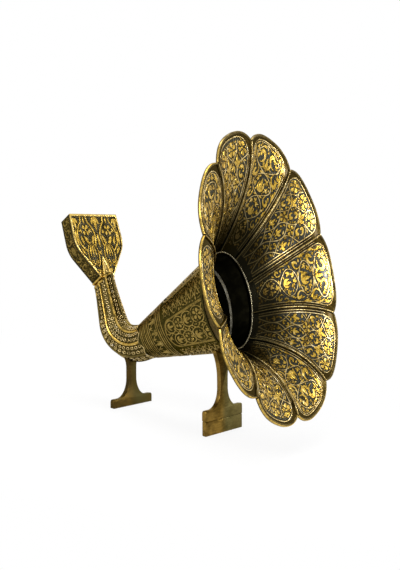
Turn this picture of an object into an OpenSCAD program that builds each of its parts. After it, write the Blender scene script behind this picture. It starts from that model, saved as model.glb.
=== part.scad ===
// Passive phone horn in the shape of a gramophone
// Petal bell, cone, swan neck, phone pocket and two plate legs
// Brass sheet and brass castings, soldered and brazed together, sizes in millimetres
// +Z is up, +X is the way the bell looks, the origin is the middle of the rear foot on the floor

/* [Horn] */
// height of the cone's small end above the floor
horn_height = 59.9; // [50:0.1:75]
// how far the cone's small end lies ahead of the rear foot
horn_ahead = 4.05; // [-5:0.05:15]
// rise of the cone's axis from level
cone_rise = 34.3; // [28:0.1:40]
// length of the cone's axis up to the throat
cone_length = 91.5; // [80:0.5:105]
// outside radius of the cone's small end
cone_small_radius = 15.85; // [14:0.05:18]
// sheet thickness of the cone
cone_wall = 1.2; // [0.8:0.1:2]

/* [Bell] */
// radius of the circle through the notches between the petals
notch_radius = 120; // [112:0.5:128]
// how far a petal's tip stands out past the notches
tip_reach = 9.2; // [5:0.1:11]
// squareness of a petal's tip
tip_square = 3.2; // [2:0.1:5]
// radius at the throat where the petals begin
throat_radius = 44; // [41:0.5:47]
// distance from the throat's plane to the plane of the notches
bell_depth = 47.5; // [42:0.5:54]
// how far the mouth's centre stands above the throat's centre
bell_rise = 12.5; // [6:0.5:16]
// how far the bell looks up from level
bell_tilt = 21.8; // [16:0.1:28]
// fullness of the flare
flare_power = 2.5; // [2:0.1:3.2]
// how soon the mouth's centre rises along the flare
rise_power = 3.4; // [2:0.1:4]
// width at which the flare would run flat, as a share of the notch circle
flare_end = 1.25; // [1.15:0.01:1.4]
// sheet thickness of a petal
petal_sheet = 1.2; // [0.8:0.1:2]
// depth of the hollow across a petal
petal_bow = 2; // [0:0.1:4]
// thickness of a petal's rolled edge
edge_roll = 2.4; // [1.6:0.1:3.5]
// gap between two neighbouring petals
petal_gap = 0.4; // [0.2:0.05:0.8]

/* [Seam strips] */
// width of a seam strip
strip_width = 2.4; // [1.6:0.1:4]
// height of a seam strip over the petals
strip_height = 1.1; // [0.6:0.1:2]
// solder gap under a seam strip
strip_seat = 0.2; // [0.1:0.05:0.4]

/* [Throat] */
// thickness of the flange that the petals and the cone are soldered to
flange_thickness = 1.6; // [1:0.1:3]
// width of the flange's ring
flange_width = 4.3; // [4:0.1:6]
// radius of the bead round the throat
throat_bead = 0.8; // [0.5:0.05:1.1]
// how far the throat's centre lies above the cone's axis
throat_lift = 3; // [1:0.1:4]
// length of the sleeve inside the cone's mouth, along the cone's axis
sleeve_length = 15.5; // [10:0.5:25]
// sheet thickness of the sleeve
sleeve_wall = 0.8; // [0.5:0.1:1.5]
// thickness of the lip behind the sleeve
lip_wall = 1.8; // [1.2:0.1:2.5]
// length of the lip behind the sleeve
lip_length = 1.6; // [1:0.1:3]

/* [Neck] */
// radius of the neck at the pocket
neck_top_radius = 9.2; // [8:0.1:11]
// bend radius of the neck's axis
neck_bend = 25.4; // [23:0.1:32]
// length of the neck's straight upper part
neck_straight = 41.2; // [34:0.2:60]
// wall thickness of the neck casting
neck_wall = 1.5; // [1:0.1:2.5]
// reach of the joint sleeve into the neck
joint_into_neck = 4; // [2:0.5:5]
// reach of the joint sleeve into the cone
joint_into_cone = 8; // [4:0.5:14]
// wall thickness of the joint sleeve
joint_wall = 1; // [0.6:0.1:1.6]

/* [Phone pocket] */
// how far the pocket leans back
pocket_lean = 26.4; // [20:0.1:32]
// thickness of the pocket over its rim
pocket_thickness = 10.6; // [9.6:0.1:14]
// height of the pocket's front
pocket_height = 59.9; // [54:0.1:80]
// height of the straight sides
pocket_side = 29.5; // [22:0.1:44]
// width across the pocket's mouth
pocket_mouth_width = 78.2; // [70:0.1:90]
// width across the pocket's shoulders
pocket_shoulder_width = 81.2; // [72:0.1:92]
// width across the pocket's foot
pocket_foot_width = 23.4; // [21:0.1:28]
// rounding of the shoulders, measured along the edges
shoulder_round = 9; // [4:0.2:14]
// slope of the mouth, its back edge lying lower
mouth_slope = 25.6; // [10:0.1:30]
// sheet thickness of the pocket
pocket_sheet = 0.8; // [0.6:0.1:1.2]
// height of the raised rim on the front
rim_height = 0.8; // [0.4:0.1:1.2]
// width of the raised rim on the front
rim_width = 2; // [1.2:0.1:3]
// thickness of the collar between the pocket and the neck
collar_thickness = 1.5; // [1:0.1:2.5]
// length of the tongue that runs up the pocket's front
tongue_length = 20.8; // [14:0.2:26]

/* [Legs] */
// distance between the rear and the front foot
foot_distance = 95.4; // [88:0.2:100]
// how far the legs lean back
leg_lean = 11.4; // [6:0.1:15]
// thickness of the leg plates
leg_thickness = 4; // [3:0.1:6]
// width of the rear foot
rear_foot_width = 65.8; // [56:0.2:80]
// height of the rear foot's bar
rear_bar = 7.8; // [6:0.1:12]
// width of the rear leg's waist
rear_waist = 11.5; // [9:0.1:15]
// width of the front foot
front_foot_width = 69; // [56:0.2:80]
// height of the front foot's bar above the riser
front_bar = 9.1; // [6:0.1:12]
// height of the riser under the front foot
riser_height = 12.5; // [8:0.1:18]
// width of the front leg's waist
front_waist = 13.5; // [10:0.1:17]
// radius of the hollow where a leg widens into its foot
foot_hollow = 17; // [12:0.2:20]
// radius of the hollow at the rear leg's head
rear_head_hollow = 14; // [11:0.5:24]
// height of the hollow at the rear leg's head
rear_head_rise = 9; // [5:0.5:10]
// radius of the hollow at the front leg's head
front_head_hollow = 40; // [32:1:60]
// height of the hollow at the front leg's head
front_head_rise = 25; // [15:0.5:28]
// rounding of the foot bar's upper corners
bar_round = 2.4; // [1:0.1:4]
// solder gap between a leg and the horn
leg_seat = 0.25; // [0.1:0.05:0.4]

/* [Fits] */
// clearance round the sleeve, the lip and the joint sleeve
sleeve_fit = 0.25; // [0.1:0.05:0.4]

/* [Hidden] */
$fn = 96;
petal_count = 10;
petal_angle = 360 / petal_count;
big = 600;
brass = [0.66, 0.52, 0.24];
dark_brass = [0.36, 0.30, 0.15];
plain_brass = [0.55, 0.43, 0.20];
black_brass = [0.12, 0.11, 0.08];

// cone: slope of its side and the middle of its small end
cone_slope = (throat_radius - cone_small_radius) / cone_length;
cone_start = [horn_ahead, 0, horn_height];
cone_dir = [cos(cone_rise), 0, sin(cone_rise)];
cone_skin = cone_wall / cos(atan(cone_slope));

// throat: its centre and the bell's two directions
bell_axis = [cos(bell_tilt), 0, sin(bell_tilt)];
bell_up = [-sin(bell_tilt), 0, cos(bell_tilt)];
throat_centre = cone_start + cone_length * cone_dir + throat_lift * bell_up;
plane_turn = cone_rise - bell_tilt;
flange_inner = throat_radius - 2 * throat_bead - 0.5;
bead_radius = throat_radius - throat_bead - 0.3;

// neck: bend centre, joint with the pocket, length along its axis
neck_turn = 90 - pocket_lean + cone_rise;
bend_centre = cone_start + neck_bend * [-sin(cone_rise), 0, cos(cone_rise)];
bend_start = bend_centre - neck_bend * [cos(pocket_lean), 0, sin(pocket_lean)];
pocket_foot = bend_start + neck_straight * [-sin(pocket_lean), 0, cos(pocket_lean)];
neck_arc = neck_bend * neck_turn * PI / 180;
neck_length = neck_straight + neck_arc;
neck_sides = 24;
corner_share = 1.04;
round_over = 9;
slope_over = 24;

// pocket: depth of the slot between the plates and places of the planes
slot_depth = pocket_thickness - rim_height - 2 * pocket_sheet;
front_face = pocket_thickness / 2 - rim_height;
back_face = -pocket_thickness / 2;
shoulder_up = pocket_height - pocket_side;
slope_tan = tan(mouth_slope);
collar_lift = collar_thickness / cos(mouth_slope);
neck_corner = neck_top_radius * corner_share;

// legs: length of each leg up to the horn's underside
lean_dir = [-sin(leg_lean), 0, cos(leg_lean)];
front_run = foot_distance - horn_ahead;
front_base = front_run * cos(cone_rise) - horn_height * sin(cone_rise);
front_drop = front_run * sin(cone_rise) + horn_height * cos(cone_rise);
lean_to_cone = cone_rise - leg_lean;
front_leg_length = (front_drop - cone_small_radius - cone_slope * front_base)
    / (cos(lean_to_cone) + cone_slope * sin(lean_to_cone));
rear_run = bend_centre * lean_dir;
rear_cross = rear_run - sqrt(rear_run * rear_run - bend_centre * bend_centre + neck_bend * neck_bend);
rear_mid = rear_cross * lean_dir;
rear_tangent = atan2(rear_mid[0] - bend_centre[0], bend_centre[2] - rear_mid[2]);
rear_along = neck_straight + neck_bend * (rear_tangent - pocket_lean + 90) * PI / 180;

// width and depth of the flare at a share q of the way from throat to notch circle
function ramp(t, k) = 1 - pow(max(1 - t, 0), k);
function flare_radius(q) = throat_radius + (notch_radius - throat_radius) * q;
function flare_depth(q) = bell_depth * ramp(q / flare_end, flare_power) / ramp(1 / flare_end, flare_power);
function flare_rise(q) = bell_rise * ramp(q / flare_end, rise_power) / ramp(1 / flare_end, rise_power);
function flare_point(q, a) = [
    -flare_rise(q) - flare_radius(q) * cos(a),
    flare_radius(q) * sin(a),
    flare_depth(q)
];

// direction that faces the listener, square to the flare
function unit(v) = v / norm(v);
function flare_face(q, a) = unit(cross(
    flare_point(q, a + 0.5) - flare_point(q, a - 0.5),
    flare_point(q + 0.005, a) - flare_point(max(q - 0.005, 0), a)
));

// outline of a petal's tip: w runs from -1 to 1 across the petal
function tip_share(w) = 1 + tip_reach * (1 - pow(abs(w), tip_square)) / (notch_radius - throat_radius);
function bow(v, w) = petal_bow * (1 - w * w) * sin(150 * v);

// rows along a petal and their thickening into the rolled edge
petal_rows = [0, 0.05, 0.11, 0.18, 0.26, 0.35, 0.45, 0.56, 0.67, 0.78, 0.88, 0.955, 0.972, 0.988, 1];
roll_share = [0, 0, 0, 0, 0, 0, 0, 0, 0, 0, 0, 0, 0.8, 1, 0.7];
petal_columns = [-1, -0.92, -0.8, -0.62, -0.38, -0.13, 0.13, 0.38, 0.62, 0.8, 0.92, 1];

// angle across a petal at share q, kept clear of the neighbours by half the gap
function across(i, q, w) =
    petal_angle * (i + 0.5)
    + w * (petal_angle / 2 - petal_gap / 2 / flare_radius(q) * 180 / PI);

// one point of a petal: side 1 is the front face, side 0 the back face
function petal_point(i, k, w, side) =
    let (v = petal_rows[k])
    let (q = v * tip_share(w))
    let (a = across(i, q, w))
    let (roll = roll_share[k] * (edge_roll - petal_sheet) / 2)
    let (face = flare_face(q, a))
    let (base = flare_point(q, a))
    let (outward = [-cos(a), sin(a), 0])
    k == 0
        ? base + [0, 0, 0.1] + (side == 1 ? 0 : 1) * petal_sheet * 1.1 * outward
        : base + face * (side == 1 ? roll - bow(v, w) : -petal_sheet - roll - bow(v, w));

// closed skin of a sheet given as two grids of rows by columns
module sheet(front, back, rows, columns) {
    n = rows * columns;
    function f(k, j) = k * columns + j;
    function b(k, j) = n + k * columns + j;
    polyhedron(
        points = concat(front, back),
        faces = concat(
            [for (k = [0 : rows - 2], j = [0 : columns - 2]) [f(k, j), f(k + 1, j), f(k + 1, j + 1)]],
            [for (k = [0 : rows - 2], j = [0 : columns - 2]) [f(k, j), f(k + 1, j + 1), f(k, j + 1)]],
            [for (k = [0 : rows - 2], j = [0 : columns - 2]) [b(k, j), b(k + 1, j + 1), b(k + 1, j)]],
            [for (k = [0 : rows - 2], j = [0 : columns - 2]) [b(k, j), b(k, j + 1), b(k + 1, j + 1)]],
            [for (k = [0 : rows - 2]) [f(k, 0), b(k, 0), b(k + 1, 0)]],
            [for (k = [0 : rows - 2]) [f(k, 0), b(k + 1, 0), f(k + 1, 0)]],
            [for (k = [0 : rows - 2]) [f(k, columns - 1), b(k + 1, columns - 1), b(k, columns - 1)]],
            [for (k = [0 : rows - 2]) [f(k, columns - 1), f(k + 1, columns - 1), b(k + 1, columns - 1)]],
            [for (j = [0 : columns - 2]) [f(0, j), b(0, j + 1), b(0, j)]],
            [for (j = [0 : columns - 2]) [f(0, j), f(0, j + 1), b(0, j + 1)]],
            [for (j = [0 : columns - 2]) [f(rows - 1, j), b(rows - 1, j), b(rows - 1, j + 1)]],
            [for (j = [0 : columns - 2]) [f(rows - 1, j), b(rows - 1, j + 1), f(rows - 1, j + 1)]]
        )
    );
}

// frames that the pieces are drawn in
module in_bell() {
    translate(throat_centre)
        rotate([0, 90 - bell_tilt, 0])
            children();
}

module in_cone() {
    translate(cone_start)
        rotate([0, 90 - cone_rise, 0])
            children();
}

module in_pocket() {
    translate(pocket_foot)
        rotate([0, -pocket_lean, 0])
            children();
}

// one petal of the bell, sheet brass with a rolled edge
module petal(i) {
    rows = len(petal_rows);
    columns = len(petal_columns);
    front = [for (k = [0 : rows - 1], w = petal_columns) petal_point(i, k, w, 1)];
    back = [for (k = [0 : rows - 1], w = petal_columns) petal_point(i, k, w, 0)];
    color(brass)
        in_bell()
            sheet(front, back, rows, columns);
}

// one seam strip, half-round wire that covers the joint between two petals
strip_rows = [0.03, 0.1, 0.18, 0.26, 0.35, 0.45, 0.56, 0.67, 0.78, 0.88, 0.95, 0.985];
strip_columns = [-1, -0.55, 0, 0.55, 1];
strip_profile = [0.35, 0.85, 1, 0.85, 0.35];

function strip_point(i, q, j, side) =
    let (a = petal_angle * i + strip_columns[j] * strip_width / 2 / flare_radius(q) * 180 / PI)
    flare_point(q, a)
    + flare_face(q, petal_angle * i) * (strip_seat + (side == 1 ? strip_height * strip_profile[j] : 0));

module seam_strip(i) {
    rows = len(strip_rows);
    columns = len(strip_columns);
    front = [for (q = strip_rows, j = [0 : columns - 1]) strip_point(i, q, j, 1)];
    back = [for (q = strip_rows, j = [0 : columns - 1]) strip_point(i, q, j, 0)];
    color(brass)
        in_bell()
            sheet(front, back, rows, columns);
}

module petal_01() { petal(0); }
module petal_02() { petal(1); }
module petal_03() { petal(2); }
module petal_04() { petal(3); }
module petal_05() { petal(4); }
module petal_06() { petal(5); }
module petal_07() { petal(6); }
module petal_08() { petal(7); }
module petal_09() { petal(8); }
module petal_10() { petal(9); }

module seam_strip_01() { seam_strip(0); }
module seam_strip_02() { seam_strip(1); }
module seam_strip_03() { seam_strip(2); }
module seam_strip_04() { seam_strip(3); }
module seam_strip_05() { seam_strip(4); }
module seam_strip_06() { seam_strip(5); }
module seam_strip_07() { seam_strip(6); }
module seam_strip_08() { seam_strip(7); }
module seam_strip_09() { seam_strip(8); }
module seam_strip_10() { seam_strip(9); }

// flange ring behind the petals, the cone's mouth butts against its back
module throat_flange() {
    color(dark_brass)
        in_bell()
            rotate_extrude()
                translate([flange_inner, -flange_thickness])
                    square([flange_width, flange_thickness]);
}

// bright bead round the throat, seated on the flange inside the petals' ends
module throat_ring() {
    color(brass)
        in_bell()
            rotate_extrude()
                translate([bead_radius, throat_bead])
                    circle(r = throat_bead);
}

// solid cone of the horn grown by a distance, from one axial place to another
module cone_body(grow, from, to) {
    translate([0, 0, from])
        cylinder(
            h = to - from,
            r1 = cone_small_radius + cone_slope * from + grow,
            r2 = cone_small_radius + cone_slope * to + grow
        );
}

// everything behind a plane parallel to the throat, at a distance along the cone's axis
module behind(place) {
    translate([0, 0, place])
        rotate([0, plane_turn, 0])
            translate([-big / 2, -big / 2, -big])
                cube([big, big, big]);
}

flange_back = cone_length - flange_thickness / cos(plane_turn);
sleeve_back = flange_back - sleeve_length;
lip_back = sleeve_back - lip_length;

// conical sheet horn, cut at the throat along the bell's plane
module horn_cone() {
    color(dark_brass)
        in_cone()
            intersection() {
                difference() {
                    cone_body(0, 0, cone_length + 40);
                    cone_body(-cone_skin, -1, cone_length + 41);
                }
                behind(flange_back);
            }
}

// sleeve that lines the cone's mouth
module throat_sleeve() {
    color(black_brass)
        in_cone()
            difference() {
                intersection() {
                    cone_body(-cone_skin - sleeve_fit, 20, cone_length + 40);
                    behind(flange_back);
                }
                cone_body(-cone_skin - sleeve_fit - sleeve_wall, 19, cone_length + 41);
                behind(sleeve_back);
            }
}

// thicker lip that stops the sleeve's inner end
module throat_lip() {
    color(brass)
        in_cone()
            difference() {
                intersection() {
                    cone_body(-cone_skin - sleeve_fit, 20, cone_length + 40);
                    behind(sleeve_back);
                }
                cone_body(-cone_skin - sleeve_fit - lip_wall, 19, cone_length + 41);
                behind(lip_back);
            }
}

// inner sleeve that carries the joint between neck and cone
joint_neck_radius = cone_small_radius * 0.94 - neck_wall - sleeve_fit;
joint_cone_radius = cone_small_radius - cone_skin - sleeve_fit;

module joint_sleeve() {
    color(dark_brass)
        in_cone()
            rotate_extrude()
                polygon([
                    [joint_neck_radius - joint_wall, -joint_into_neck],
                    [joint_neck_radius, -joint_into_neck],
                    [joint_neck_radius, 0],
                    [joint_cone_radius, 0],
                    [joint_cone_radius + cone_slope * joint_into_cone, joint_into_cone],
                    [joint_cone_radius + cone_slope * joint_into_cone - joint_wall, joint_into_cone],
                    [joint_neck_radius - joint_wall, 0]
                ]);
}

// axis of the neck: direction, place and radius at a length along it
function neck_heading(s) = s <= neck_straight
    ? pocket_lean - 90
    : pocket_lean - 90 + (s - neck_straight) / neck_bend * 180 / PI;
function neck_place(s) = s <= neck_straight
    ? pocket_foot + s * [sin(pocket_lean), 0, -cos(pocket_lean)]
    : bend_centre + neck_bend * [sin(neck_heading(s)), 0, -cos(neck_heading(s))];
function smooth(t) = t * t * (3 - 2 * t);
function neck_radius(s) = neck_top_radius + (cone_small_radius - neck_top_radius) * smooth(s / neck_length);
function eight_sided(q) = corner_share * cos(22.5) / cos((q % 45) - 22.5);
function rounding(s) = max(0, (s - neck_length + round_over) / round_over);
function neck_skin(s, q) = neck_radius(s) * (eight_sided(q) * (1 - rounding(s)) + rounding(s));

// point on the neck's skin: q turns from the inside of the bend, depth goes into the wall
function neck_point(s, q, depth) =
    let (h = neck_heading(s))
    let (r = neck_skin(s, q) - depth)
    let (ahead = r * cos(q))
    let (slip = max(0, 1 - s / slope_over) * (ahead - pocket_thickness / 2) * slope_tan)
    neck_place(s)
    + ahead * [-sin(h), 0, cos(h)]
    + [0, r * sin(q), 0]
    - slip * [cos(h), 0, sin(h)];

neck_stations = concat(
    [for (k = [0 : 6]) neck_straight * k / 7],
    [for (k = [0 : 15]) neck_straight + neck_arc * k / 15]
);

// eight-sided swan neck, cast hollow
module neck_tube() {
    m = len(neck_stations);
    n = neck_sides;
    outer = [for (s = neck_stations, k = [0 : n - 1]) neck_point(s, k * 360 / n, 0)];
    inner = [for (s = neck_stations, k = [0 : n - 1]) neck_point(s, k * 360 / n, neck_wall)];
    function o(a, k) = a * n + k % n;
    function i(a, k) = m * n + a * n + k % n;
    color(dark_brass)
        polyhedron(
            points = concat(outer, inner),
            faces = concat(
                [for (a = [0 : m - 2], k = [0 : n - 1]) [o(a, k), o(a + 1, k + 1), o(a + 1, k)]],
                [for (a = [0 : m - 2], k = [0 : n - 1]) [o(a, k), o(a, k + 1), o(a + 1, k + 1)]],
                [for (a = [0 : m - 2], k = [0 : n - 1]) [i(a, k), i(a + 1, k), i(a + 1, k + 1)]],
                [for (a = [0 : m - 2], k = [0 : n - 1]) [i(a, k), i(a + 1, k + 1), i(a, k + 1)]],
                [for (k = [0 : n - 1]) [o(0, k), i(0, k + 1), o(0, k + 1)]],
                [for (k = [0 : n - 1]) [o(0, k), i(0, k), i(0, k + 1)]],
                [for (k = [0 : n - 1]) [o(m - 1, k), o(m - 1, k + 1), i(m - 1, k + 1)]],
                [for (k = [0 : n - 1]) [o(m - 1, k), i(m - 1, k + 1), i(m - 1, k)]]
            )
        );
}

// frame of the sloping joint between pocket and neck, its ground plane is the neck's end
module in_joint() {
    translate([pocket_thickness / 2, 0, 0])
        rotate([0, -mouth_slope, 0])
            translate([-pocket_thickness / 2 / cos(mouth_slope), 0, 0])
                children();
}

// collar plate that closes the neck's end round the pocket's foot
module neck_collar() {
    slot_half = neck_top_radius - neck_wall - 1;
    stretch = 1 / cos(mouth_slope);
    color(plain_brass)
        in_pocket()
            in_joint()
                linear_extrude(height = collar_thickness)
                    difference() {
                        union() {
                            polygon([
                                for (q = [0 : 45 : 315])
                                    [neck_corner * cos(q) * stretch, neck_corner * sin(q)]
                            ]);
                            translate([-pocket_thickness / 2 * stretch, -pocket_foot_width / 2])
                                square([pocket_thickness * stretch, pocket_foot_width]);
                        }
                        translate([-slot_depth / 2 * stretch, -slot_half])
                            square([slot_depth * stretch, 2 * slot_half]);
                    }
}

// right half of the pocket's outline drawn in by an inset, from the foot up to the mouth
function curve(a, b, c, t) = (1 - t) * (1 - t) * a + 2 * t * (1 - t) * b + t * t * c;
function pocket_half(inset, top) =
    let (foot = [pocket_foot_width / 2 - inset * 1.38, collar_lift])
    let (shoulder = [pocket_shoulder_width / 2 - inset, shoulder_up - inset * 0.42])
    let (mouth = [pocket_mouth_width / 2 - inset, pocket_height - top])
    let (lower = shoulder + shoulder_round * unit(foot - shoulder))
    let (upper = shoulder + shoulder_round * unit(mouth - shoulder))
    concat([foot], [for (t = [0 : 0.2 : 1]) curve(lower, shoulder, upper, t)], [mouth]);
function turned(list) = [for (k = [len(list) - 1 : -1 : 0]) list[k]];
function other_hand(list) = [for (p = list) [-p[0], p[1]]];
function pocket_whole(inset, top) =
    concat(pocket_half(inset, top), turned(other_hand(pocket_half(inset, top))));

// a layer of the pocket from one depth to another, slipping down towards the back
module slanted(outline, from, to) {
    n = len(outline);
    function at(x, p) = [x, p[0], p[1] + (x - pocket_thickness / 2) * slope_tan];
    polyhedron(
        points = concat([for (p = outline) at(from, p)], [for (p = outline) at(to, p)]),
        faces = concat(
            [[for (k = [0 : n - 1]) k]],
            [[for (k = [n - 1 : -1 : 0]) n + k]],
            [for (k = [0 : n - 1]) [k, n + k, n + (k + 1) % n, (k + 1) % n]]
        )
    );
}

// a bent band between an outer and an inner line, from one depth to another
module slanted_band(outer, inner, from, to) {
    n = len(outer);
    function at(x, p) = [x, p[0], p[1] + (x - pocket_thickness / 2) * slope_tan];
    polyhedron(
        points = concat(
            [for (p = outer) at(from, p)],
            [for (p = outer) at(to, p)],
            [for (p = inner) at(from, p)],
            [for (p = inner) at(to, p)]
        ),
        faces = concat(
            [for (k = [0 : n - 2]) [k, n + k, n + k + 1, k + 1]],
            [for (k = [0 : n - 2]) [2 * n + k, 2 * n + k + 1, 3 * n + k + 1, 3 * n + k]],
            [for (k = [0 : n - 2]) [k, k + 1, 2 * n + k + 1, 2 * n + k]],
            [for (k = [0 : n - 2]) [n + k, 3 * n + k, 3 * n + k + 1, n + k + 1]],
            [[0, 2 * n, 3 * n, n]],
            [[n - 1, 2 * n - 1, 4 * n - 1, 3 * n - 1]]
        )
    );
}

module pocket_front() {
    color(dark_brass)
        in_pocket()
            slanted(pocket_whole(0, 0), front_face - pocket_sheet, front_face);
}

module pocket_back() {
    color(dark_brass)
        in_pocket()
            slanted(pocket_whole(0, 0), back_face, back_face + pocket_sheet);
}

// bent side bands between the two plates
module pocket_side_band() {
    in_pocket()
        slanted_band(
            pocket_half(0, 0), pocket_half(pocket_sheet, 0),
            back_face + pocket_sheet, front_face - pocket_sheet
        );
}

module pocket_left() {
    color(dark_brass)
        mirror([0, 1, 0])
            pocket_side_band();
}

module pocket_right() {
    color(dark_brass)
        pocket_side_band();
}

// raised frame soldered round the edge of the pocket's front
module pocket_rim() {
    color(brass)
        in_pocket()
            slanted_band(
                pocket_whole(0, 0), pocket_whole(rim_width, rim_width),
                front_face, pocket_thickness / 2
            );
}

// pointed tongue of the neck that laps the pocket's front
module neck_tongue() {
    wide = neck_corner * cos(45);
    side = neck_corner - front_face / wide * (neck_corner - wide);
    function seat(x) = (x - pocket_thickness / 2) * slope_tan + collar_lift;
    color(brass)
        in_pocket()
            polyhedron(
                points = [
                    [front_face, -side, seat(front_face)],
                    [wide, -wide, seat(wide)],
                    [neck_corner, 0, seat(neck_corner)],
                    [wide, wide, seat(wide)],
                    [front_face, side, seat(front_face)],
                    [front_face, 0, tongue_length]
                ],
                faces = [
                    [0, 1, 2],
                    [0, 2, 3],
                    [0, 3, 4],
                    [0, 5, 1],
                    [1, 5, 2],
                    [2, 5, 3],
                    [3, 5, 4],
                    [4, 5, 0]
                ]
            );
}

// outline of a leg: bar with rounded corners, waist, hollows at foot and head
module leg_outline(bar_from, bar_to, bar_width, waist, head_at, head_hollow, head_rise) {
    half = waist / 2;
    reach = head_hollow - sqrt(head_hollow * head_hollow - head_rise * head_rise);
    translate([-bar_width / 2, bar_from])
        square([bar_width, bar_to - bar_from - bar_round]);
    translate([-bar_width / 2 + bar_round, bar_from])
        square([bar_width - 2 * bar_round, bar_to - bar_from]);
    for (hand = [-1, 1])
        translate([hand * (bar_width / 2 - bar_round), bar_to - bar_round])
            circle(r = bar_round);
    translate([-half, bar_from])
        square([waist, head_at + 12 - bar_from]);
    difference() {
        translate([-half - foot_hollow, bar_to - 1])
            square([waist + 2 * foot_hollow, foot_hollow + 1]);
        for (hand = [-1, 1])
            translate([hand * (half + foot_hollow), bar_to + foot_hollow])
                circle(r = foot_hollow);
    }
    difference() {
        translate([-half - reach, head_at - head_rise])
            square([waist + 2 * reach, head_rise + 12]);
        for (hand = [-1, 1])
            translate([hand * (half + head_hollow), head_at - head_rise])
                circle(r = head_hollow);
    }
}

// a leaning plate that stands with its middle at a place on the floor
module leaning_plate(at) {
    translate([at, 0, 0])
        rotate([0, -leg_lean, 0])
            rotate([90, 0, 90])
                translate([0, 0, -leg_thickness / 2])
                    linear_extrude(height = leg_thickness)
                        children();
}

module below(level) {
    translate([-big / 2, -big / 2, level - big])
        cube([big, big, big]);
}

// rear leg, cut flat at the floor and notched to the neck's underside
module rear_leg() {
    head = rear_cross - neck_radius(rear_along) * 0.9;
    reach = neck_radius(rear_along) * corner_share + leg_seat;
    color(plain_brass)
        difference() {
            leaning_plate(0)
                leg_outline(
                    -3, rear_bar, rear_foot_width, rear_waist,
                    head, rear_head_hollow, rear_head_rise
                );
            below(0);
            translate(rear_mid)
                rotate([0, 90 - rear_tangent, 0])
                    linear_extrude(height = 60, center = true)
                        polygon([for (q = [0 : 45 : 315]) [reach * cos(q), reach * sin(q)]]);
        }
}

// front leg, stands on its riser and is hollowed to the cone's underside
module front_leg() {
    head = front_leg_length + 2;
    bar_top = (riser_height + front_bar) / cos(leg_lean);
    color(plain_brass)
        difference() {
            leaning_plate(foot_distance)
                leg_outline(
                    0, bar_top, front_foot_width, front_waist,
                    head, front_head_hollow, front_head_rise
                );
            below(riser_height);
            in_cone()
                cone_body(leg_seat / cos(atan(cone_slope)), 0, cone_length + 40);
        }
}

// bar under the front foot that levels the horn
module front_riser() {
    color(plain_brass)
        difference() {
            leaning_plate(foot_distance)
                translate([-front_foot_width / 2, -3])
                    square([front_foot_width, riser_height + 20]);
            below(0);
            translate([0, 0, riser_height + big])
                below(0);
        }
}

petal_01();
petal_02();
petal_03();
petal_04();
petal_05();
petal_06();
petal_07();
petal_08();
petal_09();
petal_10();
seam_strip_01();
seam_strip_02();
seam_strip_03();
seam_strip_04();
seam_strip_05();
seam_strip_06();
seam_strip_07();
seam_strip_08();
seam_strip_09();
seam_strip_10();
throat_flange();
throat_ring();
throat_sleeve();
throat_lip();
horn_cone();
joint_sleeve();
neck_tube();
neck_collar();
neck_tongue();
pocket_front();
pocket_back();
pocket_left();
pocket_right();
pocket_rim();
rear_leg();
front_leg();
front_riser();
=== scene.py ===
import bisect
import math

import bpy
from mathutils import Matrix, Vector


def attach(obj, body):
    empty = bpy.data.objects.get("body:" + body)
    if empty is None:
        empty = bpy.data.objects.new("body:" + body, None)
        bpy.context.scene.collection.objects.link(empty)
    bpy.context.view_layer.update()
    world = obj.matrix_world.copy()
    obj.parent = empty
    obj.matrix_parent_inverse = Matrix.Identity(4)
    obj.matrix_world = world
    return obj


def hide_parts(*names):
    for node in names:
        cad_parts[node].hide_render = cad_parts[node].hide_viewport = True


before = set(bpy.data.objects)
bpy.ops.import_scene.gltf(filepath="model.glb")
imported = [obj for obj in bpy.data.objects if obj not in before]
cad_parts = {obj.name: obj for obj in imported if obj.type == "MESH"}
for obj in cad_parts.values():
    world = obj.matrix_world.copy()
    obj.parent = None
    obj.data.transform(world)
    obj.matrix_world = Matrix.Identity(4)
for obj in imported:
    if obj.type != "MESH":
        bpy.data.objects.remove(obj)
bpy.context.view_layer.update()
MM = 0.001
bpy.ops.object.select_all(action="DESELECT")


# Legs
# Two plate legs sawn from sheet brass, one under the neck and one under the horn, and the brass block that
# the front one stands on. Their edges are eased with a file, and they are soldered in place.
leg_nodes = ("rear_leg", "front_leg", "front_riser")
leg_easing = 0.9 * MM
merge_gap = 0.005 * MM
flat_within = math.radians(1.5)
eased_above = math.radians(40)
smooth_below = math.radians(35)
leg_blotch = 14 * MM
leg_scratch = 1.6 * MM
leg_speck = 0.7 * MM
leg_waver = 6 * MM
# From a leg's near side, painted warm as a reflection, to its far side, painted greener and darker as
# shade.
leg_lit_to_shaded = (-5 * MM, 8 * MM)
# From the rear leg, painted dark as if in shadow, to the front leg in light.
leg_shaded_to_lit = (-10 * MM, 50 * MM)
file_stroke = (1, 0.25, 1)
brass_edge = (0.95, 0.86, 0.68, 1)
leg_edge = (0.8, 0.7, 0.5, 1)
leg_gold = (0.235, 0.142, 0.031, 1)
leg_brown = (0.078, 0.045, 0.010, 1)
leg_shade_green = (0.128, 0.110, 0.045, 1)
leg_shade_olive = (0.046, 0.042, 0.017, 1)
leg_worn = (0.42, 0.30, 0.090, 1)
leg_shadow_dark = (0.040, 0.028, 0.009, 1)
X_AXIS = Vector((1, 0, 0))
Y_AXIS = Vector((0, 1, 0))


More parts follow.
